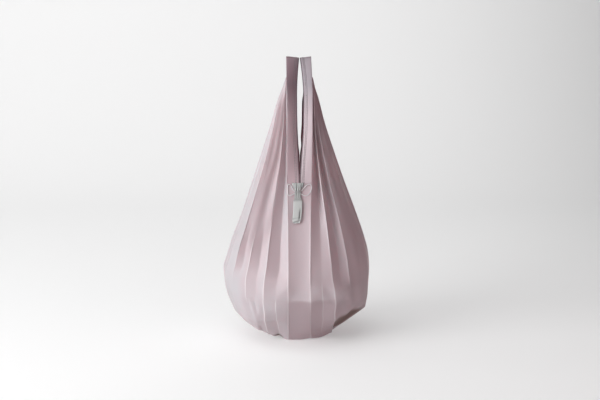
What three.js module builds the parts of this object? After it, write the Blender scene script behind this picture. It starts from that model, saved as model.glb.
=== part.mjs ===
// A foldable shopping bag: a drop-shaped sack of pleated cloth. A plain band runs down its front, under the
// base and up its back. At the mouth the band splits into two handles, and a ribbon tab with an elastic
// loop on either side hangs at the foot of the front split.
// Millimetres, +Z up. The origin is in the middle of the base, with +X to the right and +Y to the back.

import * as THREE from "three";

// Cloth
const CLOTH = 1.2; // thickness of the bag's cloth wall
const GAP = 0.3; // clearance between two pieces that meet
const MITRE_LIMIT = 3.5; // longest inward step at a sharp fold, in wall thicknesses
const MITRE_SOFTNESS = 0.02; // keeps that step steady where faces are nearly parallel

// Pleats
const PLEATS_PER_SIDE = 10; // folds between the front band and the back band
const PLEAT_FACE = 22.5; // width of cloth between a ridge and the next valley
const FOLD_PER_REACH = 0.35; // deepest fold, as a share of the side's reach past the band
const BAND_FOLDS_END = 1; // up to this many pleats from the band, folds are as deep as beside it
const SIDE_FOLDS_START = 3.5; // past this many they are as deep as at the side

// Mouth and handles
const MOUTH_FOOT = 310; // height where the band splits
const CLOTH_RIM = 500; // height where the pleated cloth ends under the handles
const HANDLE_TOP = 541; // height of the handles' top fold
const HANDLE_THICKNESS = 1.6;
const EDGE_SETBACK = 2.4; // from a handle's edge to the first ridge beside it
const ARCH_STEPS = 6; // stations on each half of the handles' top fold
const ARCH_LEAN = 0.34; // how far the handle leans in for each millimetre it climbs
const ARCH_STRAIGHT = 28; // length that keeps that lean before the fold
const ARCH_CROWN = 6; // half width of the fold's flat crown

// Ribbon tab and elastic loops
const TAB_THICKNESS = 2.2;
const TAB_STANDOFF = 0.4; // from the band's face to the back of the tab
const ELASTIC_DIAMETER = 1.4;
const ELASTIC_SIDES = 8;
const ELASTIC_STEPS = 26;
const ELASTIC_STANDOFF = 1.3; // from the band's face to the middle of the elastic

// Longest step between two rows of the pleated wall
const ROW_STEP = 22;

// One row for each level of the bag, from the base up. left and right are how far the cloth reaches to the
// sides, front and back how deep the band lies. spread sets the pleats along each side: 1 for even angles,
// less where the pleats beside the band are the wide ones, more where they are the narrow ones.
// bandFold and sideFold are the shares of the free fold depth left beside the band and at the sides. lean is
// how far the right side's valleys go outwards for each part inwards. The left side's go straight in.
const LEVEL_COLUMNS = ["height", "left", "right", "front", "back", "spread", "bandFold", "sideFold", "lean"];
const LEVELS = [
  [0, 62, 57, 54, 50, 0.26, 0.2, 0.2, 0.4],
  [7, 75, 67, 60, 57, 0.38, 0.25, 0.2, 0.4],
  [16, 90, 80, 68, 66, 0.5, 0.3, 0.2, 0.45],
  [32, 110, 106, 83, 82, 0.64, 0.36, 0.2, 0.45],
  [49, 125, 126, 99, 98, 0.73, 0.42, 0.2, 0.45],
  [65, 133, 130, 113, 112, 0.79, 0.46, 0.2, 0.45],
  [82, 140, 132.5, 127, 126, 0.83, 0.5, 0.22, 0.45],
  [100, 145, 134, 137, 135, 0.86, 0.54, 0.26, 0.45],
  [129, 148, 135.5, 140, 138, 0.9, 0.65, 0.4, 0.45],
  [161, 140, 133, 134, 133, 0.93, 0.75, 0.65, 0.45],
  [193, 130, 125, 124, 124, 0.94, 0.82, 0.8, 0.42],
  [240, 112, 109, 109, 109, 0.95, 0.86, 0.9, 0.4],
  [MOUTH_FOOT, 88.5, 83, 86, 86, 1.05, 0.9, 0.95, 0.4],
  [365, 70.5, 64, 69, 69, 1.16, 0.92, 1.0, 0.25],
  [412, 55, 48.5, 54, 54, 1.18, 0.9, 1.0, 0.1],
  [465, 39.5, 34.5, 36, 36, 1.05, 0.8, 0.9, 0],
  [CLOTH_RIM, 32, 29.5, 24, 24, 1.0, 0.5, 0.6, 0],
].map(namedRow(LEVEL_COLUMNS));

// The band's edges to the left and right of the middle, and above its foot the edges of the mouth's slit,
// with how far those turn in.
const BAND_COLUMNS = ["height", "leftOuter", "leftInner", "rightInner", "rightOuter", "curl"];
const BAND = [
  [0, 21.6, 0, 0, 21.2, 0],
  [130, 21.1, 0, 0, 19.8, 0],
  [230, 21.8, 0, 0, 20.2, 0],
  [MOUTH_FOOT, 23.6, 1.9, 1.2, 22.4, 0],
  [345, 23.8, 2.6, 4, 23.4, 3.5],
  [420, 23.2, 4.6, 6.6, 24.2, 6],
  [470, 23.8, 5, 7, 24.6, 6],
  [CLOTH_RIM, 25, 4.2, 5.2, 23.6, 5],
  [HANDLE_TOP, 25.8, 2, 0.8, 21.6, 2],
].map(namedRow(BAND_COLUMNS));

// The ribbon tab from its top down: how far below the mouth's foot, the half width, and the middle line.
const TAB_COLUMNS = ["drop", "halfWidth", "middle"];
const TAB = [
  [4, 3, -2.6],
  [8, 4.6, -3.6],
  [18, 4.2, -3.8],
  [29, 4.6, -3.8],
  [31, 6.6, -3.6],
  [48, 7, -4.5],
  [62, 7.4, -5.8],
  [67, 6.4, -6],
  [69.5, 3.6, -5.8],
].map(namedRow(TAB_COLUMNS));

// Where each elastic loop leaves the tab's neck, swings out and comes back: across from the middle, and
// below the mouth's foot.
const LOOP_COLUMNS = ["across", "drop"];
const LEFT_LOOP = [
  [-8.9, 13.4],
  [-11, 12],
  [-13, 9.2],
  [-14.9, 5.6],
  [-16.7, 2.4],
  [-18.9, 0.7],
  [-21.1, 1.2],
  [-22.3, 3.4],
  [-22.4, 7],
  [-22.4, 11],
  [-22.3, 15],
  [-21.7, 18.6],
  [-19.4, 20.8],
  [-16.3, 20.6],
  [-13.5, 19.2],
  [-11.2, 18.2],
  [-8.9, 17.7],
].map(namedRow(LOOP_COLUMNS));
const RIGHT_LOOP = [
  [1.4, 13.4],
  [3.6, 12.4],
  [6.4, 9.6],
  [9.4, 6.4],
  [12.4, 3.4],
  [15.6, 1.2],
  [19, 0.8],
  [21.6, 2.8],
  [22.4, 6.2],
  [21.8, 10],
  [20.2, 14],
  [17.8, 17.6],
  [14.4, 20.4],
  [10.6, 21.4],
  [7, 20.4],
  [4, 18.6],
  [1.4, 17.9],
].map(namedRow(LOOP_COLUMNS));

const MAUVE_CLOTH = new THREE.MeshStandardMaterial({ color: 0xb7a3a8, roughness: 0.55, metalness: 0 });
const MAUVE_HANDLE = new THREE.MeshStandardMaterial({ color: 0xaa979d, roughness: 0.55, metalness: 0 });
const GREY_RIBBON = new THREE.MeshStandardMaterial({ color: 0xc4c5c4, roughness: 0.5, metalness: 0 });
const GREY_ELASTIC = new THREE.MeshStandardMaterial({ color: 0xa3969a, roughness: 0.6, metalness: 0 });

// A table row as an object with its columns' names.
function namedRow(columns) {
  return (values) => Object.fromEntries(columns.map((column, i) => [column, values[i]]));
}

// Slope of a column at row i of a table, flat where the column turns.
function columnSlope(rows, key, column, i) {
  const step = (a, b) => (rows[b][column] - rows[a][column]) / (rows[b][key] - rows[a][key]);
  if (i === 0) return step(0, 1);
  if (i === rows.length - 1) return step(i - 1, i);
  const below = step(i - 1, i);
  const above = step(i, i + 1);
  return below * above <= 0 ? 0 : (2 * below * above) / (below + above);
}

// A column of a table at any value of its key, on a smooth curve that never overshoots the rows.
function tableValue(rows, key, column, at) {
  const last = rows.length - 2;
  const found = rows.findIndex((row, i) => i <= last && at <= rows[i + 1][key]);
  const i = found < 0 ? last : found;
  const span = rows[i + 1][key] - rows[i][key];
  const t = THREE.MathUtils.clamp((at - rows[i][key]) / span, 0, 1);
  const [from, to] = [rows[i][column], rows[i + 1][column]];
  const [leave, arrive] = [columnSlope(rows, key, column, i), columnSlope(rows, key, column, i + 1)];
  const s = 1 - t;
  return s * s * (1 + 2 * t) * from + t * t * (3 - 2 * t) * to + span * t * s * (s * leave - t * arrive);
}

const levelValue = (column, height) => tableValue(LEVELS, "height", column, height);
const bandValue = (column, height) => tableValue(BAND, "height", column, height);

// The heights of a table's rows, with more between them wherever two are further apart than ROW_STEP.
function rowHeights(rows) {
  const heights = [rows[0].height];
  for (const { height } of rows.slice(1)) {
    const start = heights.at(-1);
    const count = Math.ceil((height - start) / ROW_STEP);
    for (let n = 1; n <= count; n++) heights.push(start + ((height - start) * n) / count);
  }
  return heights;
}

// The angle round a side, in degrees from the front band, of a place counted in pleats.
function pleatAngle(height, pleat) {
  const half = PLEATS_PER_SIDE / 2;
  const fromBand = Math.min(pleat, PLEATS_PER_SIDE - pleat) / half;
  const angle = 90 * Math.pow(fromBand, levelValue("spread", height));
  return pleat > half ? 180 - angle : angle;
}

// A point on the bag's outer line at a height, that many degrees round one side.
function outlinePoint(height, side, angle) {
  const besideHandle = height >= MOUTH_FOOT ? EDGE_SETBACK : 0;
  const edge = bandValue(side + "Outer", height) + besideHandle;
  const reach = levelValue(side, height) - edge;
  const turn = THREE.MathUtils.degToRad(angle);
  const depth = levelValue(angle < 90 ? "front" : "back", height);
  const sign = side === "left" ? -1 : 1;
  return new THREE.Vector3(sign * (edge + reach * Math.sin(turn)), -depth * Math.cos(turn), height);
}

// One side of the bag at a height, from the front band's edge to the back band's: ridges on the outer line,
// and between each two a valley as deep as two pleat faces leave it.
function pleatedSide(height, side) {
  const inward = side === "left" ? 1 : -1;
  const lean = side === "right" ? levelValue("lean", height) : 0;
  const reach = levelValue(side, height) - bandValue(side + "Outer", height);
  const at = (pleat) => outlinePoint(height, side, pleatAngle(height, pleat));
  const points = [at(0)];
  for (let pleat = 0; pleat < PLEATS_PER_SIDE; pleat++) {
    const chord = at(pleat + 1).sub(at(pleat));
    const fromBand = Math.min(pleat + 0.5, PLEATS_PER_SIDE - pleat - 0.5);
    const atSide = THREE.MathUtils.smoothstep(fromBand, BAND_FOLDS_END, SIDE_FOLDS_START);
    const folds = ["bandFold", "sideFold"].map((column) => levelValue(column, height));
    const share = THREE.MathUtils.lerp(...folds, atSide);
    const free = Math.sqrt(Math.max(0, PLEAT_FACE ** 2 - chord.lengthSq() / 4));
    const depth = share * Math.min(free, FOLD_PER_REACH * reach);
    const into = new THREE.Vector3(inward * chord.y, -inward * chord.x, 0).normalize();
    into.setX(into.x + lean).setLength(depth);
    points.push(at(pleat).addScaledVector(chord, 0.5).add(into), at(pleat + 1));
  }
  return points;
}

// The step from a point on the outer face to the same point on the inner face, for a wall of thickness 1,
// from the normals of the faces that meet there.
function mitre(normals) {
  const e = [MITRE_SOFTNESS, 0, 0, 0, MITRE_SOFTNESS, 0, 0, 0, MITRE_SOFTNESS];
  const sum = new THREE.Vector3();
  for (const n of normals) {
    sum.add(n);
    const parts = n.toArray();
    for (let i = 0; i < 9; i++) e[i] += parts[Math.floor(i / 3)] * parts[i % 3];
  }
  return sum.applyMatrix3(new THREE.Matrix3().set(...e).invert()).clampLength(0, MITRE_LIMIT);
}

// A closed wall: an outer skin of triangles, the same skin stepped inward, and a rim along its open edges.
function thicken(points, triangles, thickness) {
  const normals = points.map(() => []);
  const corner = new THREE.Triangle();
  for (const t of triangles) {
    corner.setFromPointsAndIndices(points, ...t);
    const normal = corner.getNormal(new THREE.Vector3());
    for (const i of t) normals[i].push(normal);
  }
  const inner = points.map((p, i) => p.clone().addScaledVector(mitre(normals[i]), -thickness));
  const count = points.length;
  const faces = triangles.flatMap(([a, b, c]) => [a, b, c, count + a, count + c, count + b]);
  const directed = new Set(triangles.flatMap(([a, b, c]) => [`${a},${b}`, `${b},${c}`, `${c},${a}`]));
  for (const edge of directed) {
    const [a, b] = edge.split(",").map(Number);
    if (!directed.has(`${b},${a}`)) faces.push(b, a, count + a, b, count + a, count + b);
  }
  return new THREE.BufferGeometry().setFromPoints([...points, ...inner]).setIndex(faces);
}

// The two triangles between neighbouring points of two rows, where a to b is the lower row.
const quad = (a, b, above) => [
  [a, b, b + above],
  [a, b + above, a + above],
];

// A strip of cloth from rows of points that run from left to right, thickened to the back.
function strip(rows, thickness) {
  const width = rows[0].length;
  const triangles = [];
  for (let row = 0; row < rows.length - 1; row++) {
    for (let i = 0; i < width - 1; i++) triangles.push(...quad(row * width + i, row * width + i + 1, width));
  }
  return thicken(rows.flat(), triangles, thickness);
}

// The pleated sack with its flat base. Its rows run round the right side to the back and home along the
// left, and the band's front and back faces stop at the foot of the mouth.
function pleatedBody() {
  const heights = rowHeights(LEVELS);
  const rows = heights.map((h) => [...pleatedSide(h, "right"), ...pleatedSide(h, "left").reverse()]);
  const round = rows[0].length;
  const sideEnd = round / 2 - 1;
  const triangles = [];
  for (let row = 0; row < rows.length - 1; row++) {
    for (let i = 0; i < round; i++) {
      const onBand = i === sideEnd || i === round - 1;
      if (onBand && heights[row] >= MOUTH_FOOT) continue;
      triangles.push(...quad(row * round + i, row * round + ((i + 1) % round), round));
    }
  }
  const base = rows[0].map((p) => new THREE.Vector2(p.x, p.y));
  for (const [a, b, c] of THREE.ShapeUtils.triangulateShape(base, [])) triangles.push([a, c, b]);
  return thicken(rows.flat(), triangles, CLOTH);
}

// The line that both handles follow from the front foot over the top to the back foot, as depth and height.
function handleLine() {
  const rise = rowHeights(BAND).filter((h) => h > MOUTH_FOOT && h <= CLOTH_RIM);
  const rim = levelValue("front", CLOTH_RIM);
  const straight = new THREE.Vector2(ARCH_LEAN, 1).setLength(ARCH_STRAIGHT);
  const arch = new THREE.CubicBezierCurve(
    new THREE.Vector2(-rim, CLOTH_RIM),
    new THREE.Vector2(-rim, CLOTH_RIM).add(straight),
    new THREE.Vector2(-ARCH_CROWN, HANDLE_TOP),
    new THREE.Vector2(0, HANDLE_TOP),
  ).getPoints(ARCH_STEPS);
  const leg = (column) => [MOUTH_FOOT + GAP, ...rise].map((h) => new THREE.Vector2(levelValue(column, h), h));
  const front = [...leg("front").map((p) => new THREE.Vector2(-p.x, p.y)), ...arch.slice(1)];
  const backArch = arch.slice(1, -1).map((p) => new THREE.Vector2(-p.x, p.y));
  return [...front, ...[...leg("back"), ...backArch].reverse()];
}

// One handle: a strap as wide as half the band, from the band's edge to the slit, where it turns in.
function handle(side) {
  const sign = side === "left" ? -1 : 1;
  const line = handleLine();
  const rows = line.map((point, i) => {
    const along = line[Math.min(i + 1, line.length - 1)].clone().sub(line[Math.max(i - 1, 0)]);
    const curl = new THREE.Vector2(along.y, -along.x).setLength(bandValue("curl", point.y));
    const slit = point.clone().add(curl);
    const outer = new THREE.Vector3(sign * bandValue(side + "Outer", point.y), point.x, point.y);
    const inner = new THREE.Vector3(sign * bandValue(side + "Inner", point.y), slit.x, slit.y);
    return side === "left" ? [outer, inner] : [inner, outer];
  });
  return strip(rows, HANDLE_THICKNESS);
}

// The ribbon tab, a strip that hangs down the face of the band.
function ribbonTab() {
  const rows = TAB.map(({ drop, halfWidth, middle }) => {
    const height = MOUTH_FOOT - drop;
    const depth = -levelValue("front", height) - TAB_STANDOFF - TAB_THICKNESS;
    return [-1, 0, 1].map((edge) => new THREE.Vector3(middle + edge * halfWidth, depth, height));
  });
  return strip(rows.reverse(), TAB_THICKNESS);
}

// One elastic loop, a round cord that lies on the face of the band.
function elasticLoop(route) {
  const line = route.map(({ across, drop }) => {
    const height = MOUTH_FOOT - drop;
    return new THREE.Vector3(across, -levelValue("front", height) - ELASTIC_STANDOFF, height);
  });
  const section = new THREE.Shape();
  section.absarc(0, 0, ELASTIC_DIAMETER / 2, 0, 2 * Math.PI);
  return new THREE.ExtrudeGeometry(section, {
    extrudePath: new THREE.CatmullRomCurve3(line),
    steps: ELASTIC_STEPS,
    curveSegments: ELASTIC_SIDES / 2,
  });
}

function piece(name, geometry, material) {
  const mesh = new THREE.Mesh(geometry, material);
  mesh.name = name;
  return mesh;
}

const bag = new THREE.Group();
bag.add(
  piece("pleated_body", pleatedBody(), MAUVE_CLOTH),
  piece("handle_left", handle("left"), MAUVE_HANDLE),
  piece("handle_right", handle("right"), MAUVE_HANDLE),
  piece("ribbon_tab", ribbonTab(), GREY_RIBBON),
  piece("elastic_loop_left", elasticLoop(LEFT_LOOP), GREY_ELASTIC),
  piece("elastic_loop_right", elasticLoop(RIGHT_LOOP), GREY_ELASTIC),
);

export default bag;
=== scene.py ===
# %% [markdown]
# # A foldable shopping bag of pleated cloth
#
# The bag is one thin sheet of mauve polyester with sharp pleats pressed into it, so it stands like a
# drop. A plain band runs down its front and back. At the mouth the band splits into two straps, and a
# grey ribbon tab with an elastic loop on either side hangs at the foot of the split.
#
# The construction comes from a packed frame, in metres, with the front facing -Y and the base on z = 0.
# This lesson dresses that frame: it never moves it, and every new piece is made in the same place and
# size.

# %% Load the frame and keep its box
import math

import bpy
import numpy as np
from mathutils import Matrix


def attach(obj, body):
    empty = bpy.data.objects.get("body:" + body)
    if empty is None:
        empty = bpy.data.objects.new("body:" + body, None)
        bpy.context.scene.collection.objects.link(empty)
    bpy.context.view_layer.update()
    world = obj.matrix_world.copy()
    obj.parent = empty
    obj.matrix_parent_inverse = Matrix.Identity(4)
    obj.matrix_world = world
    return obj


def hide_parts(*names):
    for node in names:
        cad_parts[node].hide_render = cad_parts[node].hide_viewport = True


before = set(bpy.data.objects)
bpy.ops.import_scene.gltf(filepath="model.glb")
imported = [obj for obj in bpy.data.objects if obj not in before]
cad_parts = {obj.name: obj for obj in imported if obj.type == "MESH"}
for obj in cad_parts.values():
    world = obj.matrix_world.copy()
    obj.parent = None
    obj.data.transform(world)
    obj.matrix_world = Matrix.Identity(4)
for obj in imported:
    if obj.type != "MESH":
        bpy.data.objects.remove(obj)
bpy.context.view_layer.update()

print("frame nodes:", sorted(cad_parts))

# %% [markdown]
# ## The camera
#
# The camera comes first, because everything else is judged through it. It stands 2.6 m away, higher than
# the bag's top, and looks down by ten degrees. A long lens keeps the bag's sides nearly parallel. The
# numbers below put the origin where the bag's foot is in the picture.

# %% Place the camera
PICTURE_WIDTH = 600
SENSOR_WIDTH = 36.0
FOCAL_PIXELS = 1319.8
CAMERA_PITCH = 10.0
CAMERA_PLACE = (0.0006, -2.5153, 0.7076)


def place_camera():
    """A camera at the picture's viewing angle, with no shift and no blur."""
    lens = bpy.data.cameras.new("camera")
    lens.sensor_width = SENSOR_WIDTH
    lens.lens = FOCAL_PIXELS * SENSOR_WIDTH / PICTURE_WIDTH
    camera = bpy.data.objects.new("camera", lens)
    camera.location = CAMERA_PLACE
    camera.rotation_euler = (math.radians(90 - CAMERA_PITCH), 0, 0)
    bpy.context.scene.collection.objects.link(camera)
    bpy.context.scene.camera = camera
    return camera


camera = place_camera()
print("camera lens:", round(camera.data.lens, 1), "mm")

# %% [markdown]
# ## The bag's sizes as tables
#
# A soft form is easiest to steer by a few level lines. Each row below is one height of the bag, in
# millimetres: how far it reaches to the left, right, front and back, how its pleats crowd, how deep they
# fold and how far they lean. A second table gives the edges of the band and of the straps that it splits
# into. A smooth curve is then read between the rows. The curve never overshoots, so the bag gets no waves
# that no row asked for. The tables follow the frame's own sizes, so the cloth lands on it.

# %% Tables of the bag's levels
MM = 0.001
MOUTH_FOOT = 310.0
CLOTH_RIM = 500.0
HANDLE_TOP = 541.0
WAIST = 129.0
FLANK = 240.0

LEVEL_COLUMNS = ("height", "left", "right", "front", "back", "spread", "band_fold", "side_fold", "lean")
LEVEL_ROWS = (
    (0, 62, 57, 54, 50, 0.26, 0.20, 0.20, 0.40),
    (7, 75, 67, 60, 57, 0.38, 0.25, 0.20, 0.40),
    (16, 90, 80, 67.7, 66, 0.50, 0.30, 0.20, 0.45),
    (32, 110, 103.5, 81.4, 82, 0.64, 0.36, 0.20, 0.45),
    (44, 121, 121, 91.7, 93, 0.71, 0.40, 0.20, 0.45),
    (48, 124.5, 126, 95.1, 97, 0.73, 0.42, 0.20, 0.45),
    (52, 127, 127, 98.5, 101, 0.74, 0.43, 0.20, 0.45),
    (65, 133, 129.5, 109.6, 112, 0.79, 0.46, 0.20, 0.45),
    (82, 140, 132.5, 124.2, 126, 0.83, 0.50, 0.22, 0.45),
    (94, 143.5, 133.5, 134.5, 133, 0.85, 0.53, 0.24, 0.45),
    (98, 144.5, 133.8, 137, 135, 0.86, 0.54, 0.26, 0.45),
    (129, 148, 135.5, 140, 138, 0.90, 0.65, 0.40, 0.45),
    (161, 140, 133, 134, 133, 0.93, 0.75, 0.65, 0.45),
    (193, 130, 125, 124, 124, 0.94, 0.82, 0.80, 0.42),
    (240, 112, 109, 109, 109, 0.95, 0.86, 0.90, 0.40),
    (MOUTH_FOOT, 88.5, 83, 86, 86, 1.05, 0.90, 0.95, 0.40),
    (365, 70.5, 64, 69, 69, 1.16, 0.92, 1.00, 0.25),
    (412, 55, 48.5, 54, 54, 1.18, 0.90, 1.00, 0.10),
    (465, 39.5, 34.5, 36, 36, 1.05, 0.80, 0.90, 0.00),
    (480, 33.0, 29.5, 31, 31, 1.02, 0.65, 0.75, 0.00),
    (CLOTH_RIM, 26.5, 25.0, 24, 24, 1.00, 0.50, 0.60, 0.00),
)
BAND_COLUMNS = ("height", "left_outer", "left_inner", "right_inner", "right_outer", "curl")
BAND_ROWS = (
    (0, 21.6, 0, 0, 21.2, 0),
    (130, 21.1, 0, 0, 19.8, 0),
    (230, 21.8, 0, 0, 20.2, 0),
    (MOUTH_FOOT, 23.6, 0.35, 0.3, 22.4, 0),
    (345, 23.8, 1.7, 1.9, 23.4, 5),
    (420, 23.2, 4.6, 6.6, 24.2, 10),
    (470, 23.8, 5.0, 7.0, 24.6, 10),
    (CLOTH_RIM, 25.0, 4.2, 5.2, 23.6, 9),
    (HANDLE_TOP, 25.8, 1.0, 0.1, 21.6, 3),
)

# %% Read a table at any height


class Levels:
    """A table with named columns, read on a smooth curve that never overshoots its rows."""

    def __init__(self, columns, rows):
        self.columns = dict(zip(columns, np.array(rows, float).T))
        self.key = self.columns[columns[0]]

    def slopes(self, values):
        """The slope at each row, flat where the column turns."""
        steps = np.diff(values) / np.diff(self.key)
        below, above = steps[:-1], steps[1:]
        same_way = below * above > 0
        middle = np.where(same_way, 2 * below * above / np.where(same_way, below + above, 1), 0)
        return np.concatenate([steps[:1], middle, steps[-1:]])

    def __call__(self, column, at):
        """A column's value at one place or many."""
        values = self.columns[column]
        slope = self.slopes(values)
        i = np.clip(np.searchsorted(self.key, at) - 1, 0, len(self.key) - 2)
        span = self.key[i + 1] - self.key[i]
        t = np.clip((at - self.key[i]) / span, 0, 1)
        s = 1 - t
        bend = span * t * s * (s * slope[i] - t * slope[i + 1])
        return s * s * (1 + 2 * t) * values[i] + t * t * (3 - 2 * t) * values[i + 1] + bend


def ease(value, start, end):
    """0 up to start, 1 from end on, and a smooth rise between."""
    t = np.clip((value - start) / (end - start), 0, 1)
    return t * t * (3 - 2 * t)


levels = Levels(LEVEL_COLUMNS, LEVEL_ROWS)
band = Levels(BAND_COLUMNS, BAND_ROWS)
print("front of the bag at its widest:", round(float(levels("front", WAIST)), 1), "mm")

# %% [markdown]
# ## The elastic loops
#
# A thin covered elastic comes out of the tab's neck on either side, swings out over the band and comes back,
# like a bow. It is a cord: a fixed length of something limp. Each loop is a curve through listed points,
# with a round bevel for its thickness. The points lie just in front of the band, whose depth the table
# gives.

# %% Lay the two elastic loops
ELASTIC_DIAMETER = 1.4
ELASTIC_STANDOFF = 1.3
ELASTIC_ROUND = 3
LOOP_STEPS = 8
LEFT_LOOP = (
    (-8.9, 13.4), (-11, 12), (-13, 9.2), (-14.9, 5.6), (-16.7, 2.4), (-18.9, 0.7), (-21.1, 1.2),
    (-22.3, 3.4), (-22.4, 7), (-22.4, 11), (-22.3, 15), (-21.7, 18.6), (-19.4, 20.8), (-16.3, 20.6),
    (-13.5, 19.2), (-11.2, 18.2), (-8.9, 17.7),
)
RIGHT_LOOP = (
    (1.4, 13.4), (3.6, 12.4), (6.4, 9.6), (9.4, 6.4), (12.4, 3.4), (15.6, 1.2), (19, 0.8), (21.6, 2.8),
    (22.4, 6.2), (21.8, 10), (20.2, 14), (17.8, 17.6), (14.4, 20.4), (10.6, 21.4), (7, 20.4), (4, 18.6),
    (1.4, 17.9),
)


def on_band(across, drop, standoff):
    """A point in front of the band, across from its middle and below the mouth's foot, in metres."""
    height = MOUTH_FOOT - drop
    return (across * MM, (-float(levels("front", height)) - standoff) * MM, height * MM)


def lay_loop(name, route):
    """One elastic loop, a curve through its route, and the length of that route."""
    points = [on_band(across, drop, ELASTIC_STANDOFF) for across, drop in route]
    line = bpy.data.curves.new(name, "CURVE")
    line.dimensions = "3D"
    line.bevel_depth = ELASTIC_DIAMETER / 2 * MM
    line.bevel_resolution = ELASTIC_ROUND
    line.resolution_u = LOOP_STEPS
    line.use_fill_caps = True
    spline = line.splines.new("BEZIER")
    spline.bezier_points.add(len(points) - 1)
    for knot, point in zip(spline.bezier_points, points):
        knot.co = point
        knot.handle_left_type = "AUTO"
        knot.handle_right_type = "AUTO"
    loop = bpy.data.objects.new(name, line)
    bpy.context.scene.collection.objects.link(loop)
    length = float(np.linalg.norm(np.diff(np.array(points), axis=0), axis=1).sum())
    print(name, "is", round(length * 1000, 1), "mm long")
    return loop, points[0], length


elastic_left, left_exit, left_length = lay_loop("elastic_left", LEFT_LOOP)
elastic_right, right_exit, right_length = lay_loop("elastic_right", RIGHT_LOOP)

# %% [markdown]
# ## The pleated wall as a grid
#
# Real pleats are flat faces between a ridge and a valley. The wall is therefore made as a grid: rows go
# up the bag, and columns follow the folds, several on each face and close together at the ridges, so that
# the folds stay crisp when the mesh is shaded smooth. A cloth simulation would round these pressed edges
# off, so the faces are worked out: ridges lie on the bag's outer line, and each valley lies as deep as
# two faces of cloth leave it. No real pleat is that regular, so short tables then let one fade towards
# the foot, lie flat towards the neck, or be drawn out of the round line. Last, the foot on the right is
# tucked under along a slanting plane.

# %% Sizes of the pleats
PLEATS = 10
PLEAT_FACE = 22.5
FOLD_PER_REACH = 0.35
BAND_FOLDS_END = 1.0
SIDE_FOLDS_START = 3.5
FACE_STEPS = np.array((0, 0.04, 0.11, 0.27, 0.46, 0.64, 0.81, 0.93))
FOOT_ROWS = 40
BELLY_ROWS = 38
UPPER_ROWS = 48
BAND_SHARES = np.array((0.025, 0.07, 0.2, 0.35, 0.5, 0.65, 0.8, 0.93, 0.975))
BAND_STEPS = len(BAND_SHARES) + 1
print("pleats on each side:", PLEATS, "with faces of", PLEAT_FACE, "mm")

# %% How single pleats differ
# How much of its fold each front pleat keeps, counted from the band: the share on the flank, and the
# heights between which it fades out towards the foot.
EASED_PLEATS = {
    "left": ((1, -90, -80), (0.6, 58, 120), (0.32, 100, 165), (0.17, 126, 212), (0.4, 112, 190)),
    "right": ((1, -90, -80), (1, 103, 165), (0.07, 112, 190), (0.07, 112, 190), (0.3, 112, 190)),
}
PLAIN_PLEAT = (1, 112, 190)
NECK_GATHER = (340, 450)

# The first ridge beside the band meets the floor at a corner and passes a knee above it: across and depth
# of both.
FOOT_CORNERS = {"left": (60, 40, 66, 98), "right": (62.5, 25, 64, 85)}
CORNER_PLEAT = 1
CORNER_REACH = (1, 2)
KNEE_HEIGHT = 48
BEND_HEIGHT = 96

# Ridges that are drawn out of the round line: which one, how many pleats it pulls along towards the band
# and away from it, the heights between which it comes in and goes out again, how far it moves outwards,
# and how far it moves forwards as a share of the bag's depth there.
DRAWN_RIDGES = {
    "left": (
        (1, 1, 2.5, 20, 50, 230, 290, 0, 0.012),
        (3, 2.2, 2, 110, 215, 440, 500, 2, 0.4),
    ),
    "right": ((1, 1, 2.5, 20, 50, 110, 140, 3, 0.025),),
}

# How much of its fold a pleat keeps towards the neck, where it is pressed flat.
FLAT_FOLDS = {"left": {0: 0.7, 1: -0.2, 2: 0.0}, "right": {}}
FLAT_FROM = (150, 290)

# How much deeper the first valley beside the band is pressed than its faces alone would leave it.
VALLEY_COLUMNS = ("height", "left", "right")
VALLEY_ROWS = (
    (0, 2, 3),
    (30, 2, 3),
    (55, 0, 3),
    (78, -2, 3),
    (100, 1, 1),
    (120, 2.5, -1),
    (150, 4, -4),
    (180, 2.5, -5),
    (200, 0, -5),
    (250, -1, -3),
    (MOUTH_FOOT, 0, 0),
    (CLOTH_RIM, 0, 0),
)
first_valley = Levels(VALLEY_COLUMNS, VALLEY_ROWS)

# The left of the foot is as round in front as it is at the side: the front's depth for each reach to the
# left.
ROUND_FOOT = {"left": 0.946, "right": 0.0}
ROUND_PLEATS = (0.9, 2.0)

# The front bends sharply over the foot on the band, and softly on the pleats: over which share of the
# first pleat it softens, over how many millimetres up, and between which heights.
SOFT_BEND = {"left": (-0.3, 0.1), "right": (0.0, 0.3)}
SOFT_STEPS = (-24, -16, -8, 0, 8, 16, 24)
SOFT_HEIGHTS = (50, 72, 128, 150)
print("drawn ridges:", {side: len(rows) for side, rows in DRAWN_RIDGES.items()})

# %% The bag's outer line
NEAR_POWER = 1.5


def pleat_angle(height, pleat):
    """The angle round a side, from the front band, of a place counted in pleats."""
    from_band = np.minimum(pleat, PLEATS - pleat) / (PLEATS / 2)
    angle = np.pi / 2 * from_band ** levels("spread", height)
    return np.where(pleat > PLEATS / 2, np.pi - angle, angle)


def plain_line(height, side, pleat):
    """Points of the bag's outer line, across and in depth, with no corner at the foot."""
    sign = -1 if side == "left" else 1
    edge = band(side + "_outer", height)
    turn = pleat_angle(height, pleat)
    across = sign * (edge + (levels(side, height) - edge) * np.sin(turn))
    front = levels("front", height)
    soft = sum(levels("front", height + step) for step in SOFT_STEPS) / len(SOFT_STEPS)
    low_start, low_end, high_start, high_end = SOFT_HEIGHTS
    softened = ease(height, low_start, low_end) * (1 - ease(height, high_start, high_end))
    front = front + (soft - front) * softened * ease(pleat, *SOFT_BEND[side])
    rounded = np.maximum(front, ROUND_FOOT[side] * levels(side, height))
    front = front + (rounded - front) * ease(pleat, *ROUND_PLEATS)
    depth = np.where(turn < np.pi / 2, front, levels("back", height))
    return np.stack([across, -depth * np.cos(turn)], -1)


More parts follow.
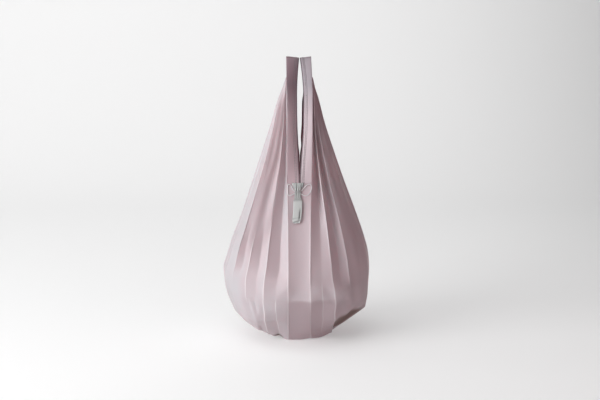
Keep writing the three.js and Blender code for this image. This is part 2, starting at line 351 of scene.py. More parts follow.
def near_ridge(pleat, ridge, towards, away):
    """1 at a ridge, falling to 0 in a soft curve towards the band and away from it."""
    from_ridge = np.asarray(pleat, float) - ridge
    reach = np.where(from_ridge < 0, towards, away)
    return np.maximum(0, 1 - np.abs(from_ridge) / reach) ** NEAR_POWER


def outer_line(height, side, pleat):
    """Points of the bag's outer line, with its foot corner and its drawn ridges."""
    across, depth, knee_across, knee_depth = FOOT_CORNERS[side]
    sign = -1 if side == "left" else 1
    rise = np.clip(height / KNEE_HEIGHT, 0, 1)[:, None]
    foot, knee = np.array((sign * across, -depth)), np.array((sign * knee_across, -knee_depth))
    shift = foot + (knee - foot) * rise - plain_line(np.minimum(height, KNEE_HEIGHT), side, CORNER_PLEAT)
    near_corner = near_ridge(pleat, CORNER_PLEAT, *CORNER_REACH)
    near_corner = near_corner * (1 - ease(height, KNEE_HEIGHT, BEND_HEIGHT))
    line = plain_line(height, side, pleat) + shift * near_corner[:, None]
    for ridge, towards, away, first, whole, easing, last, outwards, forwards in DRAWN_RIDGES[side]:
        drawn = near_ridge(pleat, ridge, towards, away) * ease(height, first, whole)
        drawn = drawn * (1 - ease(height, easing, last))
        ahead = -forwards * levels("front", height)
        line = line + drawn[:, None] * np.stack([np.full_like(height, sign * outwards), ahead], -1)
    return line


waist = outer_line(np.array([WAIST]), "left", CORNER_PLEAT)[0]
print("first ridge on the left at the waist:", np.round(waist, 1), "mm")

# %% How deep each pleat folds


def fold_share(height, side, pleat):
    """How much of the free fold depth a pleat has at each height."""
    from_band = min(pleat + 0.5, PLEATS - pleat - 0.5)
    at_side = ease(from_band, BAND_FOLDS_END, SIDE_FOLDS_START)
    free = levels("band_fold", height) * (1 - at_side) + levels("side_fold", height) * at_side
    eased = EASED_PLEATS[side]
    share, gone, whole = eased[pleat] if pleat < len(eased) else PLAIN_PLEAT
    if pleat == PLEATS - 1:
        gone, whole = eased[0][1:]
    kept = share + (1 - share) * ease(height, *NECK_GATHER)
    flat = 1 - (1 - FLAT_FOLDS[side].get(pleat, 1)) * ease(height, *FLAT_FROM)
    return free * kept * flat * ease(height, gone, whole)


flank = np.array([FLANK])
shares = [float(fold_share(flank, "right", pleat)[0]) for pleat in range(PLEATS // 2)]
print("shares of a full fold on the right flank:", np.round(shares, 2))

# %% Fold one side of the wall
LEAN_SHARE = {"left": 0.8, "right": 1.0}
VALLEY_SOFT = {"left": 0.07, "right": 0.14}
VALLEY_CRISP = 0.03
CRISP_BELOW = (95, 135)
SMOOTH_UNDER_SHARE = 0.3


def soft_valley(t, softness):
    """Runs from 0 at the ridge to 1 at the valley, and rounds off near the valley."""
    bow = np.sqrt((1 - t) ** 2 + softness**2) - softness
    return 1 - bow / (np.sqrt(1 + softness**2) - softness)


def fold_side(height, side):
    """Grid points of one side, front band to back band, with each column's distance from its ridge."""
    inward = 1 if side == "left" else -1
    lean = levels("lean", height) * LEAN_SHARE[side]
    reach = levels(side, height) - band(side + "_outer", height)
    softness = VALLEY_CRISP + (VALLEY_SOFT[side] - VALLEY_CRISP) * ease(height, *CRISP_BELOW)
    columns, from_ridge, folded = [], [], []
    weight = np.zeros((len(height), 1))
    for pleat in range(PLEATS):
        before = weight
        near = outer_line(height, side, pleat)
        far = outer_line(height, side, pleat + 1)
        chord = far - near
        free = np.sqrt(np.maximum(0, PLEAT_FACE**2 - (chord**2).sum(-1) / 4))
        share = fold_share(height, side, pleat)
        depth = share * np.minimum(free, FOLD_PER_REACH * reach)
        if pleat == 0:
            depth = depth + first_valley(side, height)
        into = np.stack([inward * chord[:, 1], -inward * chord[:, 0]], -1)
        into /= np.linalg.norm(into, axis=-1, keepdims=True)
        into[:, 0] += lean
        into *= (depth / np.linalg.norm(into, axis=-1))[:, None]
        weight = ease(share, 0, SMOOTH_UNDER_SHARE)[:, None]
        steps = [(t, t / 2, near) for t in FACE_STEPS] + [(1 - t, 0.5 + t / 2, far) for t in FACE_STEPS]
        for t, place, ridge in steps:
            towards = 1 if ridge is near else -1
            flat = ridge + towards * chord * t / 2 + into * soft_valley(t, softness)[:, None]
            smooth = outer_line(height, side, np.full_like(height, pleat + place))
            columns.append(smooth + (flat - smooth) * weight)
            from_ridge.append(t * PLEAT_FACE)
            on_ridge = ridge is near and t == 0
            folded.append(np.maximum(before, weight)[:, 0] if on_ridge else weight[:, 0])
    columns.append(outer_line(height, side, float(PLEATS)))
    from_ridge.append(0.0)
    folded.append(folded[-1])
    return np.stack(columns, 1), np.array(from_ridge), np.stack(folded, 1)


print("columns on each side of the wall:", 2 * PLEATS * len(FACE_STEPS) + 1)

# %% Fold both sides and tuck the foot under
FOOT_TOP = 100
ROW_SPANS = (
    (0, FOOT_TOP, FOOT_ROWS),
    (FOOT_TOP, MOUTH_FOOT, BELLY_ROWS),
    (MOUTH_FOOT, CLOTH_RIM, UPPER_ROWS),
)
spans = [np.linspace(low, high, count + 1)[1:] for low, high, count in ROW_SPANS]
wall_heights = np.concatenate([[0.0], *spans])
right_points, right_ridge, right_folded = fold_side(wall_heights, "right")
left_points, left_ridge, left_folded = fold_side(wall_heights, "left")

# Behind the first ridge on the right the foot is tucked under, along a plane through three corners.
UNDERSIDE = np.array(((63, -66, 34), (127, 0, 49), (66, 0, 3)), float)
FACE_COLUMNS = 2 * len(FACE_STEPS)
tuck_normal = np.cross(UNDERSIDE[1] - UNDERSIDE[0], UNDERSIDE[2] - UNDERSIDE[0])
tuck_normal /= np.linalg.norm(tuck_normal)
tuck_normal *= -np.sign(tuck_normal[2])
tucked = right_points[:, FACE_COLUMNS + 1 :]
above_corner = wall_heights[:, None] - UNDERSIDE[0, 2]
outside = (tucked - UNDERSIDE[0, :2]) @ tuck_normal[:2] + above_corner * tuck_normal[2]
push = np.maximum(0, outside) / (tuck_normal[:2] @ tuck_normal[:2])
tucked -= push[..., None] * tuck_normal[:2]
print("the foot is tucked under by up to", round(float(push.max()), 1), "mm")

# %% Close the ring with the two bands


def band_between(start, end):
    """The band's own columns between two edges, and no ridge among them."""
    points = start[:, None] + (end - start)[:, None] * BAND_SHARES[:, None]
    return points, np.full(BAND_STEPS - 1, PLEAT_FACE), np.ones((len(start), BAND_STEPS - 1))


back_band = band_between(right_points[:, -1], left_points[:, -1])
front_band = band_between(left_points[:, 0], right_points[:, 0])
ring = np.concatenate([right_points, back_band[0], left_points[:, ::-1], front_band[0]], 1)
from_ridge = np.concatenate([right_ridge, back_band[1], left_ridge[::-1], front_band[1]])
folded = np.concatenate([right_folded, back_band[2], left_folded[:, ::-1], front_band[2]], 1)
side_columns = right_points.shape[1]
back_columns = slice(side_columns - 1, side_columns + BAND_STEPS - 1)
front_columns = slice(2 * side_columns + BAND_STEPS - 1, ring.shape[1])
wall = np.concatenate([ring, np.repeat(wall_heights[:, None, None], ring.shape[1], 1)], -1)
print("wall grid:", wall.shape[0], "rows of", wall.shape[1], "columns")

# %% [markdown]
# ## Slack, creases and the foot
#
# Worked-out faces are too perfect. Pressed ridges stand a little proud, faces bow, and the cloth has
# slack. Where the pleats open near the foot, it buckles into short creases. Each of these is a small move
# along the wall's own normal, added up as one height field, the way a sculptor's brush would do it. The
# numbers come from a seeded generator, so the bag is the same every time.

# %% Helpers for the height field
SEED = 11
WAVE_SPREAD = (0.6, 1.6)
generator = np.random.default_rng(SEED)


def grid_normals(points):
    """Outward unit normals of a closed ring grid."""
    round_way = np.roll(points, -1, 1) - np.roll(points, 1, 1)
    up_way = np.gradient(points, axis=0)
    normals = np.cross(round_way, up_way)
    return normals / np.maximum(np.linalg.norm(normals, axis=-1, keepdims=True), 1e-9)


def slow_waves(across, up, lengths, count):
    """A smooth random field from a few waves, between about -1 and 1."""
    field = np.zeros(np.broadcast(across, up).shape)
    for _ in range(count):
        length_across, length_up = (length * generator.uniform(*WAVE_SPREAD) for length in lengths)
        phase = generator.uniform(0, 2 * np.pi)
        tilt = generator.choice((-1, 1))
        field += np.sin(2 * np.pi * (across / length_across + tilt * up / length_up) + phase)
    return field / np.sqrt(count)


print("random numbers start from seed", SEED)

# %% Ridges, bowed faces and slack
RIDGE_PROUD = 0.35
RIDGE_WIDTH = 0.75
FACE_BOW = 0.9
SLACK = 0.4
FLANK_SLACK = 1.0
BAND_DISH = 3.2
BOW_SPREAD = (-0.4, 1)
BOW_RISES = (20, 120)
BOW_ENDS = (220, 420)
STILL_FROM = (270, 300)
SLACK_WAVES = (70, 160)
SLACK_COUNT = 7
LOOSE_RISES = (10, 60)
LOOSE_ENDS = (330, 430)
FLANK_WAVES = (55, 420)
FLANK_COUNT = 6
DISH_RISES = (60, 130)
DISH_ENDS = (250, MOUTH_FOOT)

cloth_steps = np.linalg.norm(np.diff(ring[FOOT_ROWS], axis=0), axis=1)
cloth_across = np.cumsum(np.r_[0, cloth_steps])[None]
cloth_up = wall_heights[:, None]
at_ridge = np.exp(-((from_ridge[None] / RIDGE_WIDTH) ** 2)) * folded
face_number = np.cumsum(np.r_[0, np.abs(np.diff(np.sign(np.diff(from_ridge, append=0)))) > 0])
face_bow = generator.uniform(*BOW_SPREAD, face_number.max() + 1)[face_number][None]
bowed = face_bow * np.sin(np.pi * np.clip(from_ridge / PLEAT_FACE, 0, 1))[None] * folded
swell = RIDGE_PROUD * at_ridge
swell = swell + FACE_BOW * bowed * ease(cloth_up, *BOW_RISES) * (1 - ease(cloth_up, *BOW_ENDS))
still = 1 - ease(cloth_up, *STILL_FROM) * (from_ridge == PLEAT_FACE)[None]
waves = slow_waves(cloth_across, cloth_up, SLACK_WAVES, SLACK_COUNT)
swell = swell + SLACK * waves * (1 - at_ridge) * still
loose = (1 - folded) * ease(cloth_up, *LOOSE_RISES) * (1 - ease(cloth_up, *LOOSE_ENDS))
swell = swell + FLANK_SLACK * loose * slow_waves(cloth_across, cloth_up, FLANK_WAVES, FLANK_COUNT)
band_share = 2 * BAND_SHARES - 1
dished = ease(cloth_up, *DISH_RISES) * (1 - ease(cloth_up, *DISH_ENDS))
swell[:, front_columns] -= BAND_DISH * dished * (1 - band_share**2)
print("swell between", round(float(swell.min()), 2), "and", round(float(swell.max()), 2), "mm")

# %% Creases near the foot
# Each crease runs from one point to another, seen from the front: across and height, then its depth,
# where below zero stands proud, and its half width.
CREASES = (
    (-88, 95, -80, 66, 3.2, 6),
    (-103, 99, -86, 39, 3.2, 7),
    (-74, 34, -70, 12, 2.4, 5),
    (-78, 32, -80, 14, -1.2, 5),
    (-22, 126, -45, 96, -3.2, 20),
    (86, 104, 90, 80, 1.0, 7),
    (48, 122, 64, 96, 2.6, 13),
)
BEND_REACH = 14
BEND_PROUD = 0.8
BEND_FLAT = 22
BEND_HALF_WIDTH = 42
LEFT_NARROWER = 2.5
FRONT_FADES = (-50, -5)
CREASE_ENDS = 0.3


def crease_field(across, height, crease):
    """A V-shaped groove along a line, fading towards its ends."""
    x0, z0, x1, z1, depth, half_width = crease
    along = np.array((x1 - x0, z1 - z0), float)
    length = np.hypot(*along)
    along /= length
    run = (across - x0) * along[0] + (height - z0) * along[1]
    off = np.abs((across - x0) * along[1] - (height - z0) * along[0])
    fade = CREASE_ENDS * length
    ends = ease(run, -half_width, fade) * (1 - ease(run, length - fade, length + half_width))
    return -depth * ends * np.maximum(0, 1 - off / half_width)


in_front = 1 - ease(wall[..., 1], *FRONT_FADES)
for crease in CREASES:
    swell = swell + crease_field(wall[..., 0], wall[..., 2], crease) * in_front
bend = np.maximum(0, 1 - np.abs(cloth_up - BEND_HEIGHT) / BEND_REACH)
beside_band = np.maximum(wall[..., 0], -LEFT_NARROWER * wall[..., 0])
swell = swell + BEND_PROUD * bend * (1 - ease(beside_band, BEND_FLAT, BEND_HALF_WIDTH)) * in_front
wall = wall + swell[..., None] * grid_normals(wall)
print("creases:", len(CREASES))

# %% Lift the hem where it leaves the floor
# Where the foot's edge stands off the floor, across from the middle: how high, and how wide.
HEM_LIFTS = ((-40, 6.0, 8), (-60, 6.5, 9), (-79, 6.0, 9), (21, 3.0, 14), (64, 6.0, 16))
HEM_HEIGHT = 26
for across, lift, width in HEM_LIFTS:
    near = np.exp(-(((wall[..., 0] - across) / width) ** 2)) * (wall[..., 1] < 0)
    wall[..., 2] += lift * near * (1 - ease(cloth_up, 0, HEM_HEIGHT))
wall[..., 2] = np.maximum(wall[..., 2], 0)
print("hem lifted at", len(HEM_LIFTS), "places")

# %% [markdown]
# ## Marks that the finish will read
#
# Some tones stand in for light and shade rather than coming from shape: pressed folds get a pale painted
# highlight, faces that look to the window a cooler painted sheen, the tucked foot and a notch in the hem a
# painted shadow, and a few places a deep painted shade. A painter would brush them on as vertex colours.
# Here each one is a number for every point of the grid, worked out from where the point is and where it
# looks, and the material turns it into colour later.

# %% Mark painted highlights on pressed lines
# Pressed folds get a pale painted highlight along them. The first valleys get it near the foot: the column
# each follows, and the heights between which it comes in and goes out again. The right edge of the band gets
# less of it above the foot, and so do all lines in the neck.
FIRST_VALLEY = len(FACE_STEPS)
PRESSED_VALLEYS = (
    (FIRST_VALLEY, 10, 25, 120, 140),
    (2 * side_columns + BAND_STEPS - 2 - FIRST_VALLEY, 8, 20, 90, 105),
)
PLAIN_EDGE = 0.6
PLAIN_EDGE_FROM = (100, 140)
PLAIN_NECK = 0.65
PLAIN_NECK_FROM = (310, 390)
for column, start, whole, easing, end in PRESSED_VALLEYS:
    at_ridge[:, column] = (ease(cloth_up, start, whole) * (1 - ease(cloth_up, easing, end)))[:, 0]
at_ridge[:, :2] *= 1 - PLAIN_EDGE * ease(cloth_up, *PLAIN_EDGE_FROM)
at_ridge *= 1 - PLAIN_NECK * ease(cloth_up, *PLAIN_NECK_FROM)
print("share of the wall that is pressed:", round(float(at_ridge.mean()), 3))

# %% Mark the tucked foot
# The tucked foot gets a painted shadow, for the shade under the bag: how far a point is pushed in when it
# counts as fully tucked, and the depths between which the mark fades to the back. A small dark notch in the
# left hem is painted shadow too.
FULLY_TUCKED = 17.0
UNDERSIDE_FADES = (-30, 20)
NOTCH_ACROSS = -42
NOTCH_HALF_WIDTH = 9
NOTCH_HEIGHTS = (2, 6)
on_front = wall[..., 1] < 0
tucked_columns = slice(FACE_COLUMNS + 1, side_columns)
seen_under = 1 - ease(wall[:, tucked_columns, 1], *UNDERSIDE_FADES)
tucked_under = np.zeros_like(at_ridge)
tucked_under[:, tucked_columns] = ease(push, 0, FULLY_TUCKED) * seen_under
notch = np.exp(-(((wall[..., 0] - NOTCH_ACROSS) / NOTCH_HALF_WIDTH) ** 4))
notch = notch * (1 - ease(cloth_up, *NOTCH_HEIGHTS)) * on_front
tucked_under = np.maximum(tucked_under, notch)
print("share of the wall that is tucked under:", round(float(tucked_under.mean()), 3))

# %% Mark the painted sheen and the painted shade
# Pairs of numbers are where a mark starts and where it is whole. A face's slant counts from 0 to 1, and
# places are across from the middle or up from the floor.
SHEEN_WHEN = (0.45, 0.95)
SHEEN_FADES = (10, 40)
SHEEN_FADED = 0.7
FOOT_SHEEN = 0.5
FOOT_SHEEN_ENDS = (70, 150)
SHADED_WHEN = (0.1, 0.5)
SHADED_FROM = (-27, -19)
FOOT_SHADE_ENDS = (90, 104)
NECK_SHADE = 2.0
NECK_SHADE_FROM = (12, 22)
NECK_SHADE_RISES = (330, 460)
FLANK_SHADE = 0.7
FLANK_SHADE_FROM = (66, 96)
FLANK_SHADE_ENDS = (100, 170)
BOW_SHADOW = (9, 280)
BOW_SHADOW_SIZE = (8, 16)
BOW_SHADE = 0.6
normals = grid_normals(wall)
# Faces that look to the window, and the lowest part of the bag, get a painted sheen: a cooler colour
# standing in for the white light they reflect.
to_the_left = 1 - SHEEN_FADED * ease(wall[..., 0], *SHEEN_FADES)
bleached = ease(-normals[..., 0], *SHEEN_WHEN) * to_the_left
bleached = np.maximum(bleached, FOOT_SHEEN * (1 - ease(cloth_up, *FOOT_SHEEN_ENDS)))
# Painted shade on the foot's downward face, in the tight folds at the right of the neck and on the lower
# right flank, with a painted shadow of the bow on the band.
looks_down = ease(-normals[..., 2], *SHADED_WHEN)
foot_shade = looks_down * ease(wall[..., 0], *SHADED_FROM) * (1 - ease(cloth_up, *FOOT_SHADE_ENDS))
neck_shade = NECK_SHADE * ease(wall[..., 0], *NECK_SHADE_FROM) * ease(cloth_up, *NECK_SHADE_RISES)
flank_shade = FLANK_SHADE * ease(wall[..., 0], *FLANK_SHADE_FROM) * (1 - ease(cloth_up, *FLANK_SHADE_ENDS))
painted_shade = np.maximum(np.maximum(foot_shade, neck_shade), flank_shade) * (1 - tucked_under)
from_bow = ((wall[..., 0] - BOW_SHADOW[0]) / BOW_SHADOW_SIZE[0]) ** 2
from_bow = from_bow + ((wall[..., 2] - BOW_SHADOW[1]) / BOW_SHADOW_SIZE[1]) ** 2
bow_shade = BOW_SHADE * np.exp(-from_bow) * on_front
painted_shade = np.maximum(painted_shade, bow_shade)
print("share of the wall that is bleached:", round(float(bleached.mean()), 3))
print("mean shade on the wall:", round(float(painted_shade.mean()), 3))

# %% [markdown]
# ## From grid to cloth
#
# The grid becomes a mesh of quads, closed below by rings that shrink to the middle of the base. Above the
# mouth's foot the band's columns are left out, because the straps take over there. A UV map carries each
# point's place on the flat cloth, for the weave, and attributes carry the marks. Solidify then gives the
# sheet its thickness towards the inside. The inner faces come in the same order as the outer ones, so a
# list of which faces are below the mouth later gives the inside its own, cooler finish there.

# %% Helpers for sheets of cloth
BASE_SHRINK = (0.93, 0.8, 0.6, 0.35, 0.12)
BASE_HOLLOW = 1.5
CLOTH = 0.15


def only(piece):
    """Selects one piece alone and makes it active, because an operator acts on all that is selected."""
    bpy.ops.object.select_all(action="DESELECT")
    piece.select_set(True)
    bpy.context.view_layer.objects.active = piece


def sheet_from(name, points, quads, flat, marks=None):
    """A smooth mesh piece with a UV map of the flat cloth and an attribute for each kind of mark."""
    mesh = bpy.data.meshes.new(name)
    mesh.from_pydata((points * MM).tolist(), [], quads)
    layer = mesh.uv_layers.new(name="flat_cloth")
    corners = np.empty(len(mesh.loops), np.int32)
    mesh.loops.foreach_get("vertex_index", corners)
    layer.data.foreach_set("uv", (flat * MM)[corners].astype(np.float32).ravel())
    for mark, values in (marks or {}).items():
        layer = mesh.attributes.new(mark, "FLOAT", "POINT")
        layer.data.foreach_set("value", np.asarray(values, np.float32))
    mesh.polygons.foreach_set("use_smooth", np.ones(len(mesh.polygons), bool))
    mesh.update()
    piece = bpy.data.objects.new(name, mesh)
    bpy.context.scene.collection.objects.link(piece)
    return piece


def thicken(piece, thickness):
    """Gives a sheet its thickness, inwards from the face that was made."""
    only(piece)
    wall_modifier = piece.modifiers.new("thickness", "SOLIDIFY")
    wall_modifier.thickness = thickness * MM
    wall_modifier.offset = -1
    bpy.ops.object.modifier_apply(modifier=wall_modifier.name)
    return piece


print("the sack's cloth is", CLOTH, "mm thick")

# %% Make the pleated sack
base_rings = []
for share in BASE_SHRINK:
    inner = wall[0] * (share, share, 1)
    inner[:, 2] = wall[0][:, 2] * share + BASE_HOLLOW * (1 - share)
    base_rings.append(inner)
cloth_rows = np.concatenate([np.array(base_rings)[::-1], wall])
rows, columns = cloth_rows.shape[:2]
mouth_row = len(base_rings) + FOOT_ROWS + BELLY_ROWS
sack_quads = []
lined = []
for row in range(rows - 1):
    for column in range(columns):
        on_back = back_columns.start <= column < back_columns.stop
        on_front_band = column >= front_columns.start - 1
        if row >= mouth_row and (on_back or on_front_band):
            continue
        beside = (column + 1) % columns
        start, above = row * columns, (row + 1) * columns
        sack_quads.append((start + column, start + beside, above + beside, above + column))
        lined.append(row < mouth_row)
print("sack:", len(sack_quads), "quads")

# %% Lay the cloth flat, carry the marks and close the base
up_steps = np.linalg.norm(np.diff(cloth_rows, axis=0), axis=-1).mean(1)
cloth_height = np.r_[0, np.cumsum(up_steps)]
flat_across = np.cumsum(np.r_[0, np.abs(np.diff(from_ridge))])
flat_places = np.stack(np.broadcast_arrays(flat_across[None], cloth_height[:, None]), -1).reshape(-1, 2)
sack_marks = {}
wall_marks = {
    "pressed": at_ridge,
    "tucked_under": tucked_under,
    "painted_shade": painted_shade,
    "bleached": bleached,
}
for mark, values in wall_marks.items():
    with_base = np.concatenate([np.repeat(values[:1], len(base_rings), 0), values])
    sack_marks[mark] = np.r_[with_base.ravel(), 0]
middle = len(flat_places)
sack_points = np.concatenate([cloth_rows.reshape(-1, 3), [(0, 0, BASE_HOLLOW)]])
flat_places = np.concatenate([flat_places, [(0, 0)]])
sack_quads += [(middle, (column + 1) % columns, column) for column in range(columns)]
lined += [True] * columns
sack = sheet_from("pleated_sack", sack_points, sack_quads, flat_places, sack_marks)

# %% Clear the unused points and give the sack its thickness
only(sack)
bpy.ops.object.mode_set(mode="EDIT")
bpy.ops.mesh.select_all(action="SELECT")
bpy.ops.mesh.delete_loose()
bpy.ops.object.mode_set(mode="OBJECT")
outer_faces = len(sack.data.polygons)
thicken(sack, CLOTH)
print("sack:", len(sack.data.polygons), "faces with its thickness")

# %% [markdown]
# ## The straps
#
# At the mouth's foot the band splits in two, and each half goes up, folds over the top and comes down at the
# back. Its inner edge is turned in and sewn with two rows of stitches. The strap is a grid along its line:
# rows go up and over, and columns go from the outer edge to the slit. A smooth step near the slit gives the
# turned hem, and that edge curls inwards. Both feet are tucked a little behind the band, and the back slit
# stays almost closed near its foot. A pale painted highlight runs along each strap's outer edge and over the
# right strap's top fold, and painted shade darkens the edges beside the slit.

# %% The line of the straps
ARCH_LEAN = 0.34
ARCH_STRAIGHT = 28.0
ARCH_CROWN = 6.0
ARCH_STEPS = 22
LEG_STEPS = 56
STRAP_COLUMNS = 16
HEM_WIDTH = 7.0
HEM_STEP = 0.5
STRAP_CLOTH = 1.1
STRAP_TUCK = 9.0
TUCK_DEPTH = 0.75
BACK_SLIT = 0.15
BACK_SLIT_OPENS = (338, 368)
BACK_SLIDE = 2.6
BACK_SLIDE_RISES = (360, 385)
BACK_SLIDE_ENDS = (450, 480)
HEM_EASE = 1.2
TUCK_REACH = 25
CLEAR_REACH = 12
CURL_POWER = 1.4
STRAP_WAVE = 0.35
WAVE_LENGTH = 23.0
WAVE_START = {"left": 0, "right": 2.1}
# Painted shade beside the slit, and painted highlights on the outer edge and the right strap's top fold.
SLIT_SHADE = {"left": 1.2, "right": 2.2}
SLIT_COLUMNS = 2
EDGE_HIGHLIGHT = 0.6
TOP_HIGHLIGHT = {"left": 0.0, "right": 0.9}
TOP_HIGHLIGHT_FROM = (440, 490)


def strap_line():
    """Depth and height along a strap, from the front foot over the top to the back foot."""
    heights = np.linspace(MOUTH_FOOT - STRAP_TUCK, CLOTH_RIM, LEG_STEPS)
    rim = float(levels("front", CLOTH_RIM))
    lean = np.array((ARCH_LEAN, 1)) / np.hypot(ARCH_LEAN, 1) * ARCH_STRAIGHT
    start, top = np.array((-rim, CLOTH_RIM)), np.array((0.0, HANDLE_TOP))
    pulls = (start, start + lean, top - (ARCH_CROWN, 0), top)
    t = np.linspace(0, 1, ARCH_STEPS)[1:, None]
    weights = ((1 - t) ** 3, 3 * t * (1 - t) ** 2, 3 * t * t * (1 - t), t**3)
    arch = sum(weight * pull for weight, pull in zip(weights, pulls))
    front = np.concatenate([np.stack([-levels("front", heights), heights], -1), arch])
    back_leg = np.stack([levels("back", heights), heights], -1)
    back = np.concatenate([back_leg, (arch * (-1, 1))[:-1]])[::-1]
    return np.concatenate([front, back])


print("points along a strap:", len(strap_line()))

# %% Make the straps


def strap_surface(side):
    """Grid points of a strap's outer face, row by row, with the inward direction of each row."""
    sign = -1 if side == "left" else 1
    line = strap_line()
    along = np.gradient(line, axis=0)
    along /= np.linalg.norm(along, axis=1, keepdims=True)
    inward = np.stack([along[:, 1], -along[:, 0]], -1)
    outer, inner = (sign * band(side + edge, line[:, 1]) for edge in ("_outer", "_inner"))
    behind = line[:, 0] > 0
    open_share = BACK_SLIT + (1 - BACK_SLIT) * ease(line[:, 1], *BACK_SLIT_OPENS)
    inner = np.where(behind, inner * open_share, inner)
    if side == "right":
        slid = ease(line[:, 1], *BACK_SLIDE_RISES) * (1 - ease(line[:, 1], *BACK_SLIDE_ENDS))
        inner = np.where(behind, inner - BACK_SLIDE * slid, inner)
    share = np.linspace(0, 1, STRAP_COLUMNS)[None]
    across = outer[:, None] + (inner - outer)[:, None] * share
    from_slit = np.abs(across - inner[:, None])
    hem = HEM_STEP * (1 - ease(from_slit, HEM_WIDTH - HEM_EASE, HEM_WIDTH))
    tucked = TUCK_DEPTH * (1 - ease(line[:, 1], MOUTH_FOOT, MOUTH_FOOT + TUCK_REACH))[:, None]
    clear = ease(line[:, 1], MOUTH_FOOT, MOUTH_FOOT + CLEAR_REACH)[:, None]
    sunk = band("curl", line[:, 1])[:, None] * share**CURL_POWER - hem * clear + tucked
    wave = STRAP_WAVE * np.sin(line[:, 1] / WAVE_LENGTH + WAVE_START[side])[:, None] * np.sin(np.pi * share)
    place = line[:, None] + inward[:, None] * (sunk + wave)[..., None]
    return np.stack([across, place[..., 0], place[..., 1]], -1), inward, line


def make_strap(side):
    """One strap with its hem and thickness."""
    points, _, _ = strap_surface(side)
    count_rows, count_columns = points.shape[:2]
    quads = []
    for row in range(count_rows - 1):
        for column in range(count_columns - 1):
            a = row * count_columns + column
            corners = (a, a + 1, a + 1 + count_columns, a + count_columns)
            quads.append(corners if side == "left" else corners[::-1])
    lengths = np.r_[0, np.cumsum(np.linalg.norm(np.diff(points[:, 0], axis=0), axis=1))]
    widths = np.abs(points[:, :, 0] - points[:, :1, 0])
    flat = np.stack([widths, np.repeat(lengths[:, None], count_columns, 1)], -1).reshape(-1, 2)
    # Painted highlight: pale along the outer edge and over the right strap's top fold. Painted shade beside
    # the slit.
    strap_highlight = TOP_HIGHLIGHT[side] * ease(points[..., 2], *TOP_HIGHLIGHT_FROM)
    strap_highlight[:, 0] = EDGE_HIGHLIGHT
    slit_shade = np.zeros(points.shape[:2])
    slit_shade[:, -SLIT_COLUMNS:] = SLIT_SHADE[side]
    # The right strap, which faces the window, gets the painted sheen all over.
    marks = {
        "pressed": strap_highlight.ravel(),
        "painted_shade": slit_shade.ravel(),
        "bleached": np.full(strap_highlight.size, float(side == "right")),
    }
    strap = sheet_from(f"strap_{side}", points.reshape(-1, 3), quads, flat, marks)
    print(strap.name, "is", round(lengths[-1]), "mm long and", round(float(widths.max()), 1), "mm wide")
    return thicken(strap, STRAP_CLOTH), float(lengths[-1]), float(widths.max())


strap_left, strap_left_length, strap_left_width = make_strap("left")
strap_right, strap_right_length, strap_right_width = make_strap("right")

# %% [markdown]
# ## The stitches
#
# Two rows of stitches hold each strap's hem. A stitch is a short thread that dips into the cloth at both
# ends. One is modelled by hand, from a small cylinder whose middle is pulled up and whose ends are drawn
# in, and then it is copied along the rows. A short row across the right strap and one up the slit's foot
# are sewn the same way. Each strap's stitches are joined into one piece.

# %% Model one stitch
STITCH_LENGTH = 2.5
STITCH_PITCH = 3.0
THREAD = 0.95
STITCH_ROWS = (5.2, 7.6)
STITCH_SIDES = 6
STITCH_CUTS = (-0.25, 0.25)
STITCH_TAPER = 0.35
STITCH_RISE = 0.25
STITCH_DIP = 0.55


def model_stitch():
    """One stitch along +X, lying on z = 0, and its mesh as points and faces."""
    bpy.ops.object.select_all(action="DESELECT")
    bpy.ops.mesh.primitive_cylinder_add(
        vertices=STITCH_SIDES,
        radius=THREAD / 2 * MM,
        depth=STITCH_LENGTH * MM,
        rotation=(0, math.pi / 2, 0),
    )
    stitch = bpy.context.object
    bpy.ops.object.transform_apply(location=True, rotation=True, scale=True)
    bpy.ops.object.mode_set(mode="EDIT")
    for share in STITCH_CUTS:
        bpy.ops.mesh.select_all(action="SELECT")
        bpy.ops.mesh.bisect(plane_co=(share * STITCH_LENGTH * MM, 0, 0), plane_no=(1, 0, 0))
    bpy.ops.object.mode_set(mode="OBJECT")
    reach = STITCH_LENGTH / 2 * MM
    for vertex in stitch.data.vertices:
        end = abs(vertex.co.x) / reach
        thinner = 1 - STITCH_TAPER * end
        vertex.co.y *= thinner
        lift = STITCH_RISE - STITCH_DIP * end * end
        vertex.co.z = vertex.co.z * thinner + THREAD * MM * lift
    points = np.array([vertex.co for vertex in stitch.data.vertices]) / MM
    faces = [tuple(face.vertices) for face in stitch.data.polygons]
    bpy.data.objects.remove(stitch)
    return points, faces


stitch_points, stitch_faces = model_stitch()
print("one stitch:", len(stitch_faces), "faces")

# %% Where the stitches go
SLIT_STITCHES = (311, 350)
SLIT_PITCH = 2.3
TACK_HEIGHT = 471
TACK_SHARES = (0.66, 0.82, 0.97)


def along_line(at, lengths, values):
    """Each column of a table of values, read at one place along the lengths."""
    return np.array([np.interp(at, lengths, column) for column in values.T])


def stitch_places(side):
    """Where each stitch of a strap lies, with its directions along and out."""
    points, inward, line = strap_surface(side)
    lengths = np.r_[0, np.cumsum(np.linalg.norm(np.diff(line, axis=0), axis=1))]
    stops = np.arange(STITCH_PITCH, lengths[-1] - STITCH_PITCH, STITCH_PITCH)
    from_slit = np.abs(points[:, :, 0] - points[:, -1:, 0])
    for row_off in STITCH_ROWS:
        seam = np.array([
            along_line(row_off, off[::-1], place[::-1]) for off, place in zip(from_slit, points)
        ])
        for stop in stops:
            before, place, after = (along_line(stop + step, lengths, seam) for step in (-1, 0, 1))
            out = np.array([0, *-along_line(stop, lengths, inward)])
            along = (after - before) / np.linalg.norm(after - before)
            yield place, along, out


